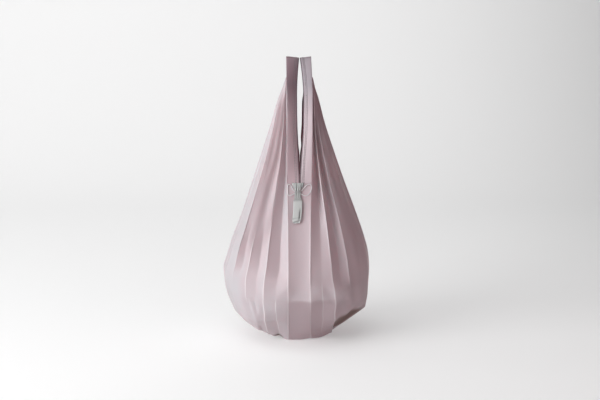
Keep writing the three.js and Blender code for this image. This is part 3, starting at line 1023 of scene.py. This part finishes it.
def slit_places():
    """Where the stitches lie that close the slit's foot, between the two straps."""
    left, right = strap_surface("left")[0][:, -1], strap_surface("right")[0][:, -1]
    middle = ((left + right) / 2)[:LEG_STEPS]
    for height in np.arange(*SLIT_STITCHES, SLIT_PITCH):
        place = along_line(height, middle[:, 2], middle)
        yield place, np.array((0.0, 0.0, 1.0)), np.array((0.0, -1.0, 0.0))


def tack_places():
    """Where the short row of stitches lies that holds the right strap's lap."""
    points, inward, line = strap_surface("right")
    row = int(np.argmin(np.abs(line[:LEG_STEPS, 1] - TACK_HEIGHT)))
    for share in TACK_SHARES:
        place = along_line(share, np.linspace(0, 1, STRAP_COLUMNS), points[row])
        yield place, np.array((1.0, 0.0, 0.0)), np.array([0, *-inward[row]])


print("stitches along the left hem:", len(list(stitch_places("left"))))

# %% Sew the stitches


def sew(name, places):
    """One piece made of a stitch at each place."""
    points, faces = [], []
    for place, along, out in places:
        out = out - along * (out @ along)
        out = out / np.linalg.norm(out)
        axes = np.stack([along, np.cross(out, along), out])
        start = len(points) * len(stitch_points)
        points.append(place + stitch_points @ axes)
        faces += [tuple(start + corner for corner in face) for face in stitch_faces]
    points = np.concatenate(points)
    flat = points[:, [0, 2]]
    piece = sheet_from(name, points, faces, flat)
    print(name, "has", len(points) // len(stitch_points), "stitches")
    return piece


hem_stitches_left = sew("hem_stitches_left", stitch_places("left"))
hem_stitches_right = sew("hem_stitches_right", [*stitch_places("right"), *tack_places(), *slit_places()])

# %% [markdown]
# ## The ribbon tab
#
# The tab is a pale grey ribbon, gathered at its neck where the elastic is tied, and doubled below a seam.
# It hangs flat on the band. Its outline is a short table from the top down, and a second direction across
# the ribbon gives it thick woven edges, a soft swell, the small gathers at the neck, a fold on the right
# and a crumpled end. The deep places among them are marked as shade for the finish.

# %% Sizes of the ribbon tab
TAB_COLUMNS = ("drop", "half_width", "middle", "swell", "gather")
TAB_ROWS = (
    (-1.5, 11.0, -3.2, 1.6, 0.6),
    (3, 9.6, -3.3, 2.4, 1.0),
    (9, 6.4, -3.3, 2.6, 1.0),
    (13.5, 5.0, -3.3, 2.0, 0.7),
    (17, 5.5, -3.3, 1.7, 0.4),
    (25, 6.3, -3.4, 1.5, 0.25),
    (28.4, 6.4, -3.4, 1.5, 0.1),
    (29.6, 8.3, -3.4, 2.2, 0),
    (48, 8.2, -4.0, 2.8, 0),
    (60, 8.0, -5.2, 2.9, 0),
    (66, 7.5, -5.8, 2.6, 0),
    (69, 6.4, -6.0, 1.9, 0),
    (70.5, 4.6, -6.0, 1.0, 0),
)
TAB_STEPS = 120
TAB_ACROSS = 24
TAB_CLEAR = 0.4
GATHER_PITCH = 4.4
GATHER_SWING = 8.2
SELVEDGE = 0.3
SEAM_DROPS = (26.6, 30.4)
SEAM_GROOVE = 0.5
FOLD_BACK = 0.8
CRUMPLE = 0.45
FOLD_SHADE = 2.3
CRUMPLE_SHADE = 1.1
GATHER_SHADE = 1.1
NECK_SIDE_SHADE = 0.9
EDGE_ROUND = 0.75
SIDE_ROUND = 0.5
SWING_SHARE = 0.6
SWING_START = 0.8
SELVEDGE_FROM = (0.86, 0.97)
SEAM_HALF_WIDTH = 0.55
TURNED_FROM = (0.15, 0.5)
TURNED_ENDS = (0.8, 0.9)
TURNED_DROPS = (36, 50)
WRINKLE_LENGTH = 1.1
WRINKLE_SLANT = 2.0
WRINKLE_DROPS = (58, 64)
SHADED_FOLD = (0.15, 0.45, 0.5, 0.75)
SHADED_FOLD_DROPS = (40, 52, 60, 66)
NECK_SIDE_FROM = (0.2, 0.9)
NECK_SIDE_DROPS = (22, 28)
tab_levels = Levels(TAB_COLUMNS, TAB_ROWS)
print("rows of the ribbon's outline:", len(TAB_ROWS))

# %% Make the ribbon tab


def rise_and_fall(value, stops):
    """0 up to the first stop, 1 between the second and third, and 0 from the last on."""
    start, whole, easing, end = stops
    return ease(value, start, whole) * (1 - ease(value, easing, end))


def make_tab():
    """The ribbon tab as a closed flat tube of ribbon: front face out, back face near the band."""
    drops = np.linspace(TAB_ROWS[0][0], TAB_ROWS[-1][0], TAB_STEPS)
    turn = np.linspace(0, 2 * np.pi, 2 * TAB_ACROSS, endpoint=False)
    across_share, bulge = -np.cos(turn), np.sin(turn)
    half = tab_levels("half_width", drops)[:, None]
    middle = tab_levels("middle", drops)[:, None]
    swell = tab_levels("swell", drops)[:, None]
    across = half * np.sign(across_share) * np.abs(across_share) ** EDGE_ROUND
    swing = np.sin(2 * np.pi * across / GATHER_SWING + SWING_START)
    folds = np.cos(2 * np.pi * across / GATHER_PITCH) + SWING_SHARE * swing
    gather = tab_levels("gather", drops)[:, None] * folds
    edge = SELVEDGE * ease(np.abs(across_share), *SELVEDGE_FROM)
    seam = sum(np.exp(-(((drops - drop) / SEAM_HALF_WIDTH) ** 2)) for drop in SEAM_DROPS)[:, None]
    turned = ease(across_share, *TURNED_FROM) * (1 - ease(across_share, *TURNED_ENDS))
    turned = turned * ease(drops, *TURNED_DROPS)[:, None]
    wrinkle = np.sin(drops / WRINKLE_LENGTH + WRINKLE_SLANT * across_share[:, None]).T
    wrinkle = wrinkle * ease(drops, *WRINKLE_DROPS)[:, None]
    face = gather + edge - SEAM_GROOVE * seam - FOLD_BACK * turned + CRUMPLE * wrinkle
    out = np.sign(bulge) * np.abs(bulge) ** SIDE_ROUND * swell / 2 + np.where(bulge > 0, face * bulge, 0)
    in_fold = rise_and_fall(across_share, SHADED_FOLD) * rise_and_fall(drops, SHADED_FOLD_DROPS)[:, None]
    neck_side = ease(across_share, *NECK_SIDE_FROM) * (1 - ease(drops, *NECK_SIDE_DROPS))[:, None]
    shade = FOLD_SHADE * in_fold + CRUMPLE_SHADE * np.maximum(0, -wrinkle)
    shade = shade + GATHER_SHADE * np.maximum(0, -gather) + NECK_SIDE_SHADE * neck_side
    shade = np.where(bulge > 0, shade, 0)
    height = MOUTH_FOOT - drops
    back = -levels("front", height) - TAB_CLEAR
    depth = back[:, None] - swell / 2 - out
    points = np.stack([middle + across, depth, np.repeat(height[:, None], len(turn), 1)], -1)
    count = len(turn)
    quads = []
    for row in range(TAB_STEPS - 1):
        for column in range(count):
            beside = (column + 1) % count
            start, below = row * count, (row + 1) * count
            quads.append((start + column, below + column, below + beside, start + beside))
    quads.append(tuple(range(count)))
    quads.append(tuple((TAB_STEPS - 1) * count + i for i in reversed(range(count))))
    flat = np.stack([across, np.repeat(drops[:, None], count, 1)], -1).reshape(-1, 2)
    piece = sheet_from("ribbon", points.reshape(-1, 3), quads, flat, {"painted_shade": shade.ravel()})
    print("ribbon:", len(quads), "faces")
    return piece


ribbon = make_tab()

# %% [markdown]
# ## The elastic's knot
#
# Where the elastic is tied, two turns of it go round the ribbon's neck. Each turn is a torus, squeezed
# flat to the neck, which is all that shows of the knot.

# %% Tie the knot
KNOT_DROPS = (13.0, 15.2)
KNOT_WIDER = 0.5
KNOT_DEEPER = 0.55
TURN_STEPS = 36
TURN_SIDES = 10


def tie_turn(name, drop):
    """One turn of elastic round the ribbon's neck."""
    half = float(tab_levels("half_width", drop)) + KNOT_WIDER
    deep = float(tab_levels("swell", drop)) / 2 + KNOT_DEEPER
    bpy.ops.object.select_all(action="DESELECT")
    bpy.ops.mesh.primitive_torus_add(
        major_segments=TURN_STEPS,
        minor_segments=TURN_SIDES,
        major_radius=half * MM,
        minor_radius=ELASTIC_DIAMETER / 2 * MM,
    )
    turn = bpy.context.object
    turn.name = name
    bpy.ops.object.mode_set(mode="EDIT")
    bpy.ops.mesh.select_all(action="SELECT")
    bpy.ops.transform.resize(value=(1, deep / half, 1))
    place = on_band(float(tab_levels("middle", drop)), drop, TAB_CLEAR + deep)
    bpy.ops.transform.translate(value=place)
    bpy.ops.object.mode_set(mode="OBJECT")
    bpy.ops.object.shade_smooth()
    return turn


knot_turns = [tie_turn(f"elastic_knot_{i + 1}", drop) for i, drop in enumerate(KNOT_DROPS)]
print("knot turns:", [turn.name for turn in knot_turns])

# %% [markdown]
# ## Shader maths in Python
#
# Materials are node trees. Written out node by node they are hard to read, so a small class wraps a
# socket and lets Python's own operators add the Math nodes. Every other node comes from one method, which
# sets the node's settings first and then its sockets.

# %% A socket with arithmetic


class Wire:
    """An output socket of a node tree, with arithmetic that adds Math nodes."""

    def __init__(self, tree, socket=None):
        self.tree = tree
        self.socket = socket

    def node(self, kind, settings=None, inputs=None, output=0):
        """A new node with its settings, then its sockets' values or links, as the wire of one output."""
        made = self.tree.nodes.new(kind)
        for name, value in (settings or {}).items():
            if name == "stops":
                ramp = made.color_ramp.elements
                while len(ramp) < len(value):
                    ramp.new(1.0)
                for element, (position, colour) in zip(ramp, value):
                    element.position = position
                    element.color = colour
            else:
                setattr(made, name, value)
        for name, value in (inputs or {}).items():
            if isinstance(value, Wire):
                self.tree.links.new(value.socket, made.inputs[name])
            else:
                made.inputs[name].default_value = value
        return Wire(self.tree, made.outputs[output]) if made.outputs else made

    def maths(self, operation, first, second=0.0):
        """The wire of a Math node on two values or wires."""
        return self.node("ShaderNodeMath", {"operation": operation}, {0: first, 1: second})

    def mix(self, first, second):
        """A colour between two, by this wire's value."""
        settings = {"data_type": "RGBA"}
        return self.node("ShaderNodeMix", settings, {0: self, 6: first, 7: second}, output=2)

    def __add__(self, other):
        return self.maths("ADD", self, other)

    __radd__ = __add__

    def __mul__(self, other):
        return self.maths("MULTIPLY", self, other)

    __rmul__ = __mul__

    def __sub__(self, other):
        return self.maths("SUBTRACT", self, other)

    def __rsub__(self, other):
        return self.maths("SUBTRACT", other, self)

    def sine(self):
        """The sine of this wire's value."""
        return self.maths("SINE", self)


print("methods of a wire:", [name for name in vars(Wire) if not name.startswith("_")])

# %% [markdown]
# ## The finishes
#
# The cloth is a thin, closely woven polyester. Its yarns are fine, so from a step away the weave shows
# only as a soft sheen: lit faces turn nearly white at a slant, and faces that look away keep the mauve.
# Pressed ridges get a pale painted highlight, and there the cloth is a little rougher and lets less light
# through. The weave is two crossed waves on the flat cloth's own map, so it follows every fold. So thin a
# cloth also lets light through, and what comes through is a warm pink: a translucent shader is mixed in for
# that, with its own colour. The marks then change the tone: faces with the painted sheen get a cooler
# colour, and the painted shadow and shade get a dull shader mixed over the cloth. A ramp by height paints
# shade on the straps and darkens the ribbon's neck. The inside of the cloth, the ribbon, the elastic and the
# thread use the same recipe with other colours and yarns.

# %% A woven finish
ROUGHNESS = 0.52
SHEEN_ROUGHNESS = 0.3
SHADE_TOP = 600.0
WEAVE_RELIEF = 0.00006
WEAVE_SHARE = 0.6
CLOUD_SCALE = 14.0
CLOUD_DETAIL = 3.0
CLOUD_TONE = 0.06
CLOUD_ROUGH = 0.12
GRAIN_SCALE = 900.0
GRAIN_DETAIL = 2.0
GRAIN_TONE = 0.08
PRESSED_HIGHLIGHT = 0.65
PRESSED_ROUGH = 0.1
PRESSED_DENSE = 0.3
TUCKED_SHADE_SHARE = 0.97
SHADE_SHARE = 0.35
# Each gloss is a sheen, an index of refraction and a specular level.
SATIN = (0.8, 1.6, 0.65)
MATT = (0.4, 1.5, 0.5)


def mark_of(pen, name):
    """The wire of one of the piece's marks."""
    return pen.node("ShaderNodeAttribute", {"attribute_name": name}, None, output=2)


def dull_over(pen, cloth, amount, colour):
    """A dull colour mixed over a cloth's shader by an amount: how painted shade and shadow are put on."""
    dull = {"Base Color": (*colour, 1), "Roughness": 1.0, "Specular IOR Level": 0.0}
    over = pen.node("ShaderNodeBsdfPrincipled", None, dull)
    return pen.node("ShaderNodeMixShader", None, {0: amount, 1: cloth, 2: over})


def woven(
    name, colour, pale, through, yarn, bump, gloss=MATT, shades=None, tucked_shade=None, sheen_colour=None, dark=None
):
    """A woven cloth: crossed yarns on the flat cloth, painted highlights on pressed ridges and a slight
    unevenness.
    """
    material = bpy.data.materials.new(name)
    material.use_nodes = True
    tree = material.node_tree
    tree.nodes.clear()
    pen = Wire(tree)
    flat_map = pen.node("ShaderNodeUVMap", {"uv_map": "flat_cloth"})
    along = pen.node("ShaderNodeSeparateXYZ", None, {0: flat_map}, output=0)
    up = pen.node("ShaderNodeSeparateXYZ", None, {0: flat_map}, output=1)
    turns = 2 * math.pi / (yarn * MM)
    warp, weft = (along * turns).sine(), (up * turns).sine()
    weave = warp * weft * 0.5 + 0.5
    place = pen.node("ShaderNodeTexCoord", None, None, output=3)
    cloud_inputs = {"Vector": place, "Scale": CLOUD_SCALE, "Detail": CLOUD_DETAIL}
    cloud = pen.node("ShaderNodeTexNoise", None, cloud_inputs)
    grain_inputs = {"Vector": flat_map, "Scale": GRAIN_SCALE, "Detail": GRAIN_DETAIL}
    grain = pen.node("ShaderNodeTexNoise", None, grain_inputs)
    ridge_highlight = mark_of(pen, "pressed")
    # The pressed mark adds a pale painted highlight; cloud and grain add a random unevenness of tone.
    light = ridge_highlight * PRESSED_HIGHLIGHT + (cloud - 0.5) * CLOUD_TONE + (grain - 0.5) * GRAIN_TONE
    plain = (*colour, 1)
    # The painted sheen: a cooler colour where the mark is.
    if sheen_colour:
        plain = mark_of(pen, "bleached").mix(plain, (*sheen_colour, 1))
    tone = light.mix(plain, (*pale, 1))
    # Painted shade by height, on the straps, and the ribbon's darker neck and seam.
    if shades:
        height = pen.node("ShaderNodeSeparateXYZ", None, {0: place}, output=2)
        stops = [(level / SHADE_TOP, (*shade, 1)) for level, shade in shades]
        shade = pen.node("ShaderNodeValToRGB", {"stops": stops}, {0: height * (1 / (SHADE_TOP * MM))})
        product = {"data_type": "RGBA", "blend_type": "MULTIPLY"}
        tone = pen.node("ShaderNodeMix", product, {0: 1.0, 6: tone, 7: shade}, output=2)
    rough = ROUGHNESS + (cloud - 0.5) * CLOUD_ROUGH + ridge_highlight * PRESSED_ROUGH
    relief = weave * WEAVE_SHARE + grain * (1 - WEAVE_SHARE)
    normal = pen.node("ShaderNodeBump", None, {"Strength": bump, "Distance": WEAVE_RELIEF, "Height": relief})
    sheen, index, level = gloss
    inputs = {
        "Base Color": tone,
        "Roughness": rough,
        "Normal": normal,
        "Sheen Weight": sheen,
        "Sheen Roughness": SHEEN_ROUGHNESS,
        "IOR": index,
        "Specular IOR Level": level,
    }
    cloth = pen.node("ShaderNodeBsdfPrincipled", None, inputs)
    share, glow = through
    lit_from_behind = pen.node("ShaderNodeBsdfTranslucent", None, {"Color": (*glow, 1), "Normal": normal})
    passing = share - ridge_highlight * (PRESSED_DENSE * share)
    both = pen.node("ShaderNodeMixShader", None, {0: passing, 1: cloth, 2: lit_from_behind})
    # Painted shadow on the tucked foot and the hem's notch.
    if tucked_shade:
        both = dull_over(pen, both, mark_of(pen, "tucked_under") * TUCKED_SHADE_SHARE, tucked_shade)
    # Painted shade where the painted_shade mark is.
    if dark:
        both = dull_over(pen, both, mark_of(pen, "painted_shade") * SHADE_SHARE, dark)
    pen.node("ShaderNodeOutputMaterial", None, {"Surface": both})
    return material


print("a satin cloth has a sheen of", SATIN[0], "and a matt one of", MATT[0])

# %% Colours of the finishes
# A glow is the share of light that passes, and its colour.
MAUVE_GLOW = (0.38, (1.0, 0.30, 0.43))
LINING_GLOW = (0.38, (1.0, 0.60, 0.70))
LINING = (0.47, 0.58, 0.60)
STRAP_GLOW = (0.28, (0.95, 0.45, 0.54))
GREY_GLOW = (0.2, (0.7, 0.7, 0.7))
MAUVE, PALE_MAUVE = (0.57, 0.552, 0.576), (0.97, 0.95, 0.96)
# The painted sheen's cooler colour on faces that look to the window.
SHEEN_COLOUR = (0.56, 0.635, 0.655)
STRAP_MAUVE, PALE_STRAP = (0.54, 0.465, 0.49), (0.80, 0.76, 0.78)
# The same painted sheen on the right strap.
STRAP_SHEEN_COLOUR = (0.61, 0.58, 0.60)
# Painted shade colours: beside the straps' slit, and in the ribbon's fold, gathers and crumples.
DARK_EDGE = (0.08, 0.06, 0.07)
DARK_RIBBON = (0.05, 0.05, 0.05)
# The painted shadow's colour on the tucked foot.
TUCKED_SHADE = (0.178, 0.12, 0.112)
SHADE = (0.30, 0.155, 0.18)
RIBBON_GREY, PALE_RIBBON = (0.50, 0.51, 0.505), (0.80, 0.80, 0.80)
ELASTIC_PINK, PALE_ELASTIC = (0.71, 0.64, 0.66), (0.80, 0.75, 0.76)
KNOT_GREY, PALE_KNOT = (0.34, 0.33, 0.335), (0.45, 0.44, 0.44)
# The thread's dark colour is painted shade for the dimples the stitches sit in; the thread itself is mauve
# like the cloth.
THREAD_SHADE, PALE_THREAD = (0.13, 0.09, 0.10), (0.25, 0.2, 0.21)

# Shades by height in millimetres: painted shade darkens the straps a little near their feet, more towards
# their top fold and most on its crown; the ribbon is darker at its tied neck and along its seam.
STRAP_SHADES = (
    (300, (0.94, 0.88, 0.90)),
    (345, (0.86, 0.80, 0.82)),
    (430, (0.84, 0.78, 0.80)),
    (490, (0.42, 0.40, 0.43)),
    (538, (0.44, 0.42, 0.45)),
    (541, (0.20, 0.18, 0.20)),
)
RIBBON_SHADES = (
    (278.5, (1.0, 1.0, 1.0)),
    (280.5, (0.5, 0.5, 0.5)),
    (282.5, (0.72, 0.72, 0.72)),
    (296, (0.68, 0.68, 0.68)),
    (300, (0.95, 0.95, 0.95)),
)
print("shades by height:", len(STRAP_SHADES), "on the straps and", len(RIBBON_SHADES), "on the ribbon")

# %% Mix the finishes and put them on
YARN, RIBBON_YARN, THREAD_YARN = 0.5, 0.9, 0.35
mauve_cloth = woven(
    "mauve_cloth", MAUVE, PALE_MAUVE, MAUVE_GLOW, YARN, bump=0.25,
    gloss=SATIN, tucked_shade=TUCKED_SHADE, sheen_colour=SHEEN_COLOUR, dark=SHADE,
)
lining_cloth = woven("lining_cloth", LINING, PALE_MAUVE, LINING_GLOW, YARN, bump=0.25)
strap_cloth = woven(
    "strap_cloth", STRAP_MAUVE, PALE_STRAP, STRAP_GLOW, YARN, bump=0.3,
    shades=STRAP_SHADES, sheen_colour=STRAP_SHEEN_COLOUR, dark=DARK_EDGE,
)
ribbon_cloth = woven(
    "ribbon_cloth", RIBBON_GREY, PALE_RIBBON, GREY_GLOW, RIBBON_YARN, bump=0.5,
    shades=RIBBON_SHADES, dark=DARK_RIBBON,
)
elastic_cloth = woven("elastic_cloth", ELASTIC_PINK, PALE_ELASTIC, GREY_GLOW, YARN, bump=0.4)
knot_cloth = woven("knot_cloth", KNOT_GREY, PALE_KNOT, GREY_GLOW, YARN, bump=0.4)
thread = woven("thread", THREAD_SHADE, PALE_THREAD, GREY_GLOW, THREAD_YARN, bump=0.4)


def finish_with(material, *pieces):
    """Gives some pieces one finish, and no other."""
    for piece in pieces:
        piece.data.materials.clear()
        piece.data.materials.append(material)


finish_with(mauve_cloth, sack)
sack.data.materials.append(lining_cloth)
inner_side = np.zeros(len(sack.data.polygons), np.int32)
inner_side[outer_faces : 2 * outer_faces] = lined
sack.data.polygons.foreach_set("material_index", inner_side)
finish_with(strap_cloth, strap_left, strap_right)
finish_with(ribbon_cloth, ribbon)
finish_with(elastic_cloth, elastic_left, elastic_right)
finish_with(knot_cloth, *knot_turns)
finish_with(thread, hem_stitches_left, hem_stitches_right)
print("finishes:", [material.name for material in bpy.data.materials])

# %% [markdown]
# ## Floor, backdrop and light
#
# The bag stands in a pale studio: a floor that curves up into a backdrop, one very large soft light on the
# left, and a white surround that fills the shade. The paper's colour and glow are painted darker to the
# right, a painted falloff as away from a window. A little pink light comes back from the right, as from a
# wall. The paper also glows slightly by itself, which keeps its shadows as pale as in a bright room.

# %% Make the stage
FLOOR_FRONT = -4.0
WALL_DEPTH = 2.6
CURVE_RADIUS = 1.2
STAGE_HALF_WIDTH = 5.0
WALL_TOP = 4.0
PAPER = 0.62
PAPER_GLOW = 0.3
PAPER_FALL = 0.19
CURVE_STEPS = 24
PAPER_ROUGHNESS = 0.9
PAPER_GLOSS = 0.2


def make_stage():
    """One smooth sheet: floor, curve and backdrop."""
    turns = np.linspace(0, math.pi / 2, CURVE_STEPS)
    curve = [
        (WALL_DEPTH - CURVE_RADIUS + CURVE_RADIUS * math.sin(a), CURVE_RADIUS - CURVE_RADIUS * math.cos(a))
        for a in turns
    ]
    profile = [(FLOOR_FRONT, 0.0), *curve, (WALL_DEPTH, WALL_TOP)]
    points = [(side * STAGE_HALF_WIDTH, depth, height) for depth, height in profile for side in (-1, 1)]
    quads = [(2 * i, 2 * i + 1, 2 * i + 3, 2 * i + 2) for i in range(len(profile) - 1)]
    mesh = bpy.data.meshes.new("stage")
    mesh.from_pydata(points, [], quads)
    mesh.polygons.foreach_set("use_smooth", np.ones(len(mesh.polygons), bool))
    stage = bpy.data.objects.new("stage", mesh)
    bpy.context.scene.collection.objects.link(stage)
    paper = bpy.data.materials.new("pale_paper")
    paper.use_nodes = True
    paper.node_tree.nodes.clear()
    pen = Wire(paper.node_tree)
    place = pen.node("ShaderNodeTexCoord", None, None, output=3)
    across = pen.node("ShaderNodeSeparateXYZ", None, {0: place}, output=0)
    to_the_right = pen.maths("MAXIMUM", across, 0.0)
    # The paper's colour and glow are painted darker to the right, a painted falloff of the light.
    fall = 1 - to_the_right * to_the_right * PAPER_FALL
    inputs = {
        "Base Color": fall * PAPER,
        "Roughness": PAPER_ROUGHNESS,
        "Specular IOR Level": PAPER_GLOSS,
        "Emission Color": fall * PAPER_GLOW,
        "Emission Strength": 1.0,
    }
    surface = pen.node("ShaderNodeBsdfPrincipled", None, inputs)
    pen.node("ShaderNodeOutputMaterial", None, {"Surface": surface})
    mesh.materials.append(paper)
    return stage


stage = make_stage()
print("stage:", len(stage.data.polygons), "faces")

# %% Light it
# Each light's name, place, aim, size and power, and its colour where it isn't white.
LIGHTS = (
    ("window", (-2.15, -1.45, 0.75), (0.0, 0.0, 0.25), 1.9, 79.0),
    ("ceiling", (-0.6, -0.6, 3.2), (0.0, 0.3, 0.0), 3.0, 38.0),
    ("backdrop_wash", (-2.2, 0.9, 2.6), (-0.6, 2.6, 0.9), 1.5, 8.0),
    ("bounce", (1.5, -0.9, 0.5), (0.0, 0.0, 0.25), 1.0, 2.2, (1.0, 0.5, 0.55)),
)
SURROUND = 0.25
TO_THE_LEFT = 0.16
TO_THE_FRONT = 0.17


def add_light(name, place, aim, size, power, colour=(1, 1, 1)):
    """A square soft light that looks at a point."""
    lamp = bpy.data.lights.new(name, "AREA")
    lamp.energy = power
    lamp.size = size
    lamp.color = colour
    light = bpy.data.objects.new(name, lamp)
    light.location = place
    direction = light.location.copy()
    direction.xyz = [a - b for a, b in zip(aim, place)]
    light.rotation_euler = direction.to_track_quat("-Z", "Y").to_euler()
    bpy.context.scene.collection.objects.link(light)
    return light


for settings in LIGHTS:
    add_light(*settings)
world = bpy.data.worlds.new("surround")
world.use_nodes = True
world.node_tree.nodes.clear()
pen = Wire(world.node_tree)
direction = pen.node("ShaderNodeTexCoord")
across, away = (pen.node("ShaderNodeSeparateXYZ", None, {0: direction}, output=axis) for axis in (0, 1))
strength = SURROUND - across * TO_THE_LEFT - away * TO_THE_FRONT
surround = pen.node("ShaderNodeBackground", None, {"Color": (1, 1, 1, 1), "Strength": strength})
pen.node("ShaderNodeOutputWorld", None, {"Surface": surround})
bpy.context.scene.world = world
bpy.context.scene.view_settings.view_transform = "Standard"
print("lights:", [name for name, *_ in LIGHTS])

# %% [markdown]
# ## What stands for what
#
# Last, each piece is tied to the frame: it rides on the root body, and where it stands for a plain solid,
# that solid is hidden.

# %% Tie the pieces to the frame
STANDS_FOR = (
    (sack, "pleated_body", "pleated_cloth"),
    (strap_left, "handle_left", "handle_cloth"),
    (strap_right, "handle_right", "handle_cloth"),
    (ribbon, "ribbon_tab", "tab_ribbon"),
    (elastic_left, "elastic_loop_left", "elastic"),
    (elastic_right, "elastic_loop_right", "elastic"),
)
for piece, node, slot in STANDS_FOR:
    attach(piece, "root")
    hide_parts(node)
for piece in (hem_stitches_left, hem_stitches_right):
    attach(piece, "root")
for piece in knot_turns:
    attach(piece, "root")
print("pieces that stand for solids:", [piece.name for piece, *_ in STANDS_FOR])

CORDS = ((elastic_left, left_exit, left_length), (elastic_right, right_exit, right_length))
for piece, exit_point, length in CORDS:
    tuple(exit_point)
STRAPS = (
    (strap_left, hem_stitches_left, strap_left_width, strap_left_length),
    (strap_right, hem_stitches_right, strap_right_width, strap_right_length),
)
for piece, stitches, width, length in STRAPS:
    width * MM
    length * MM
print("declared:", len(CORDS), "cords and", len(STRAPS) + 2, "sheets")
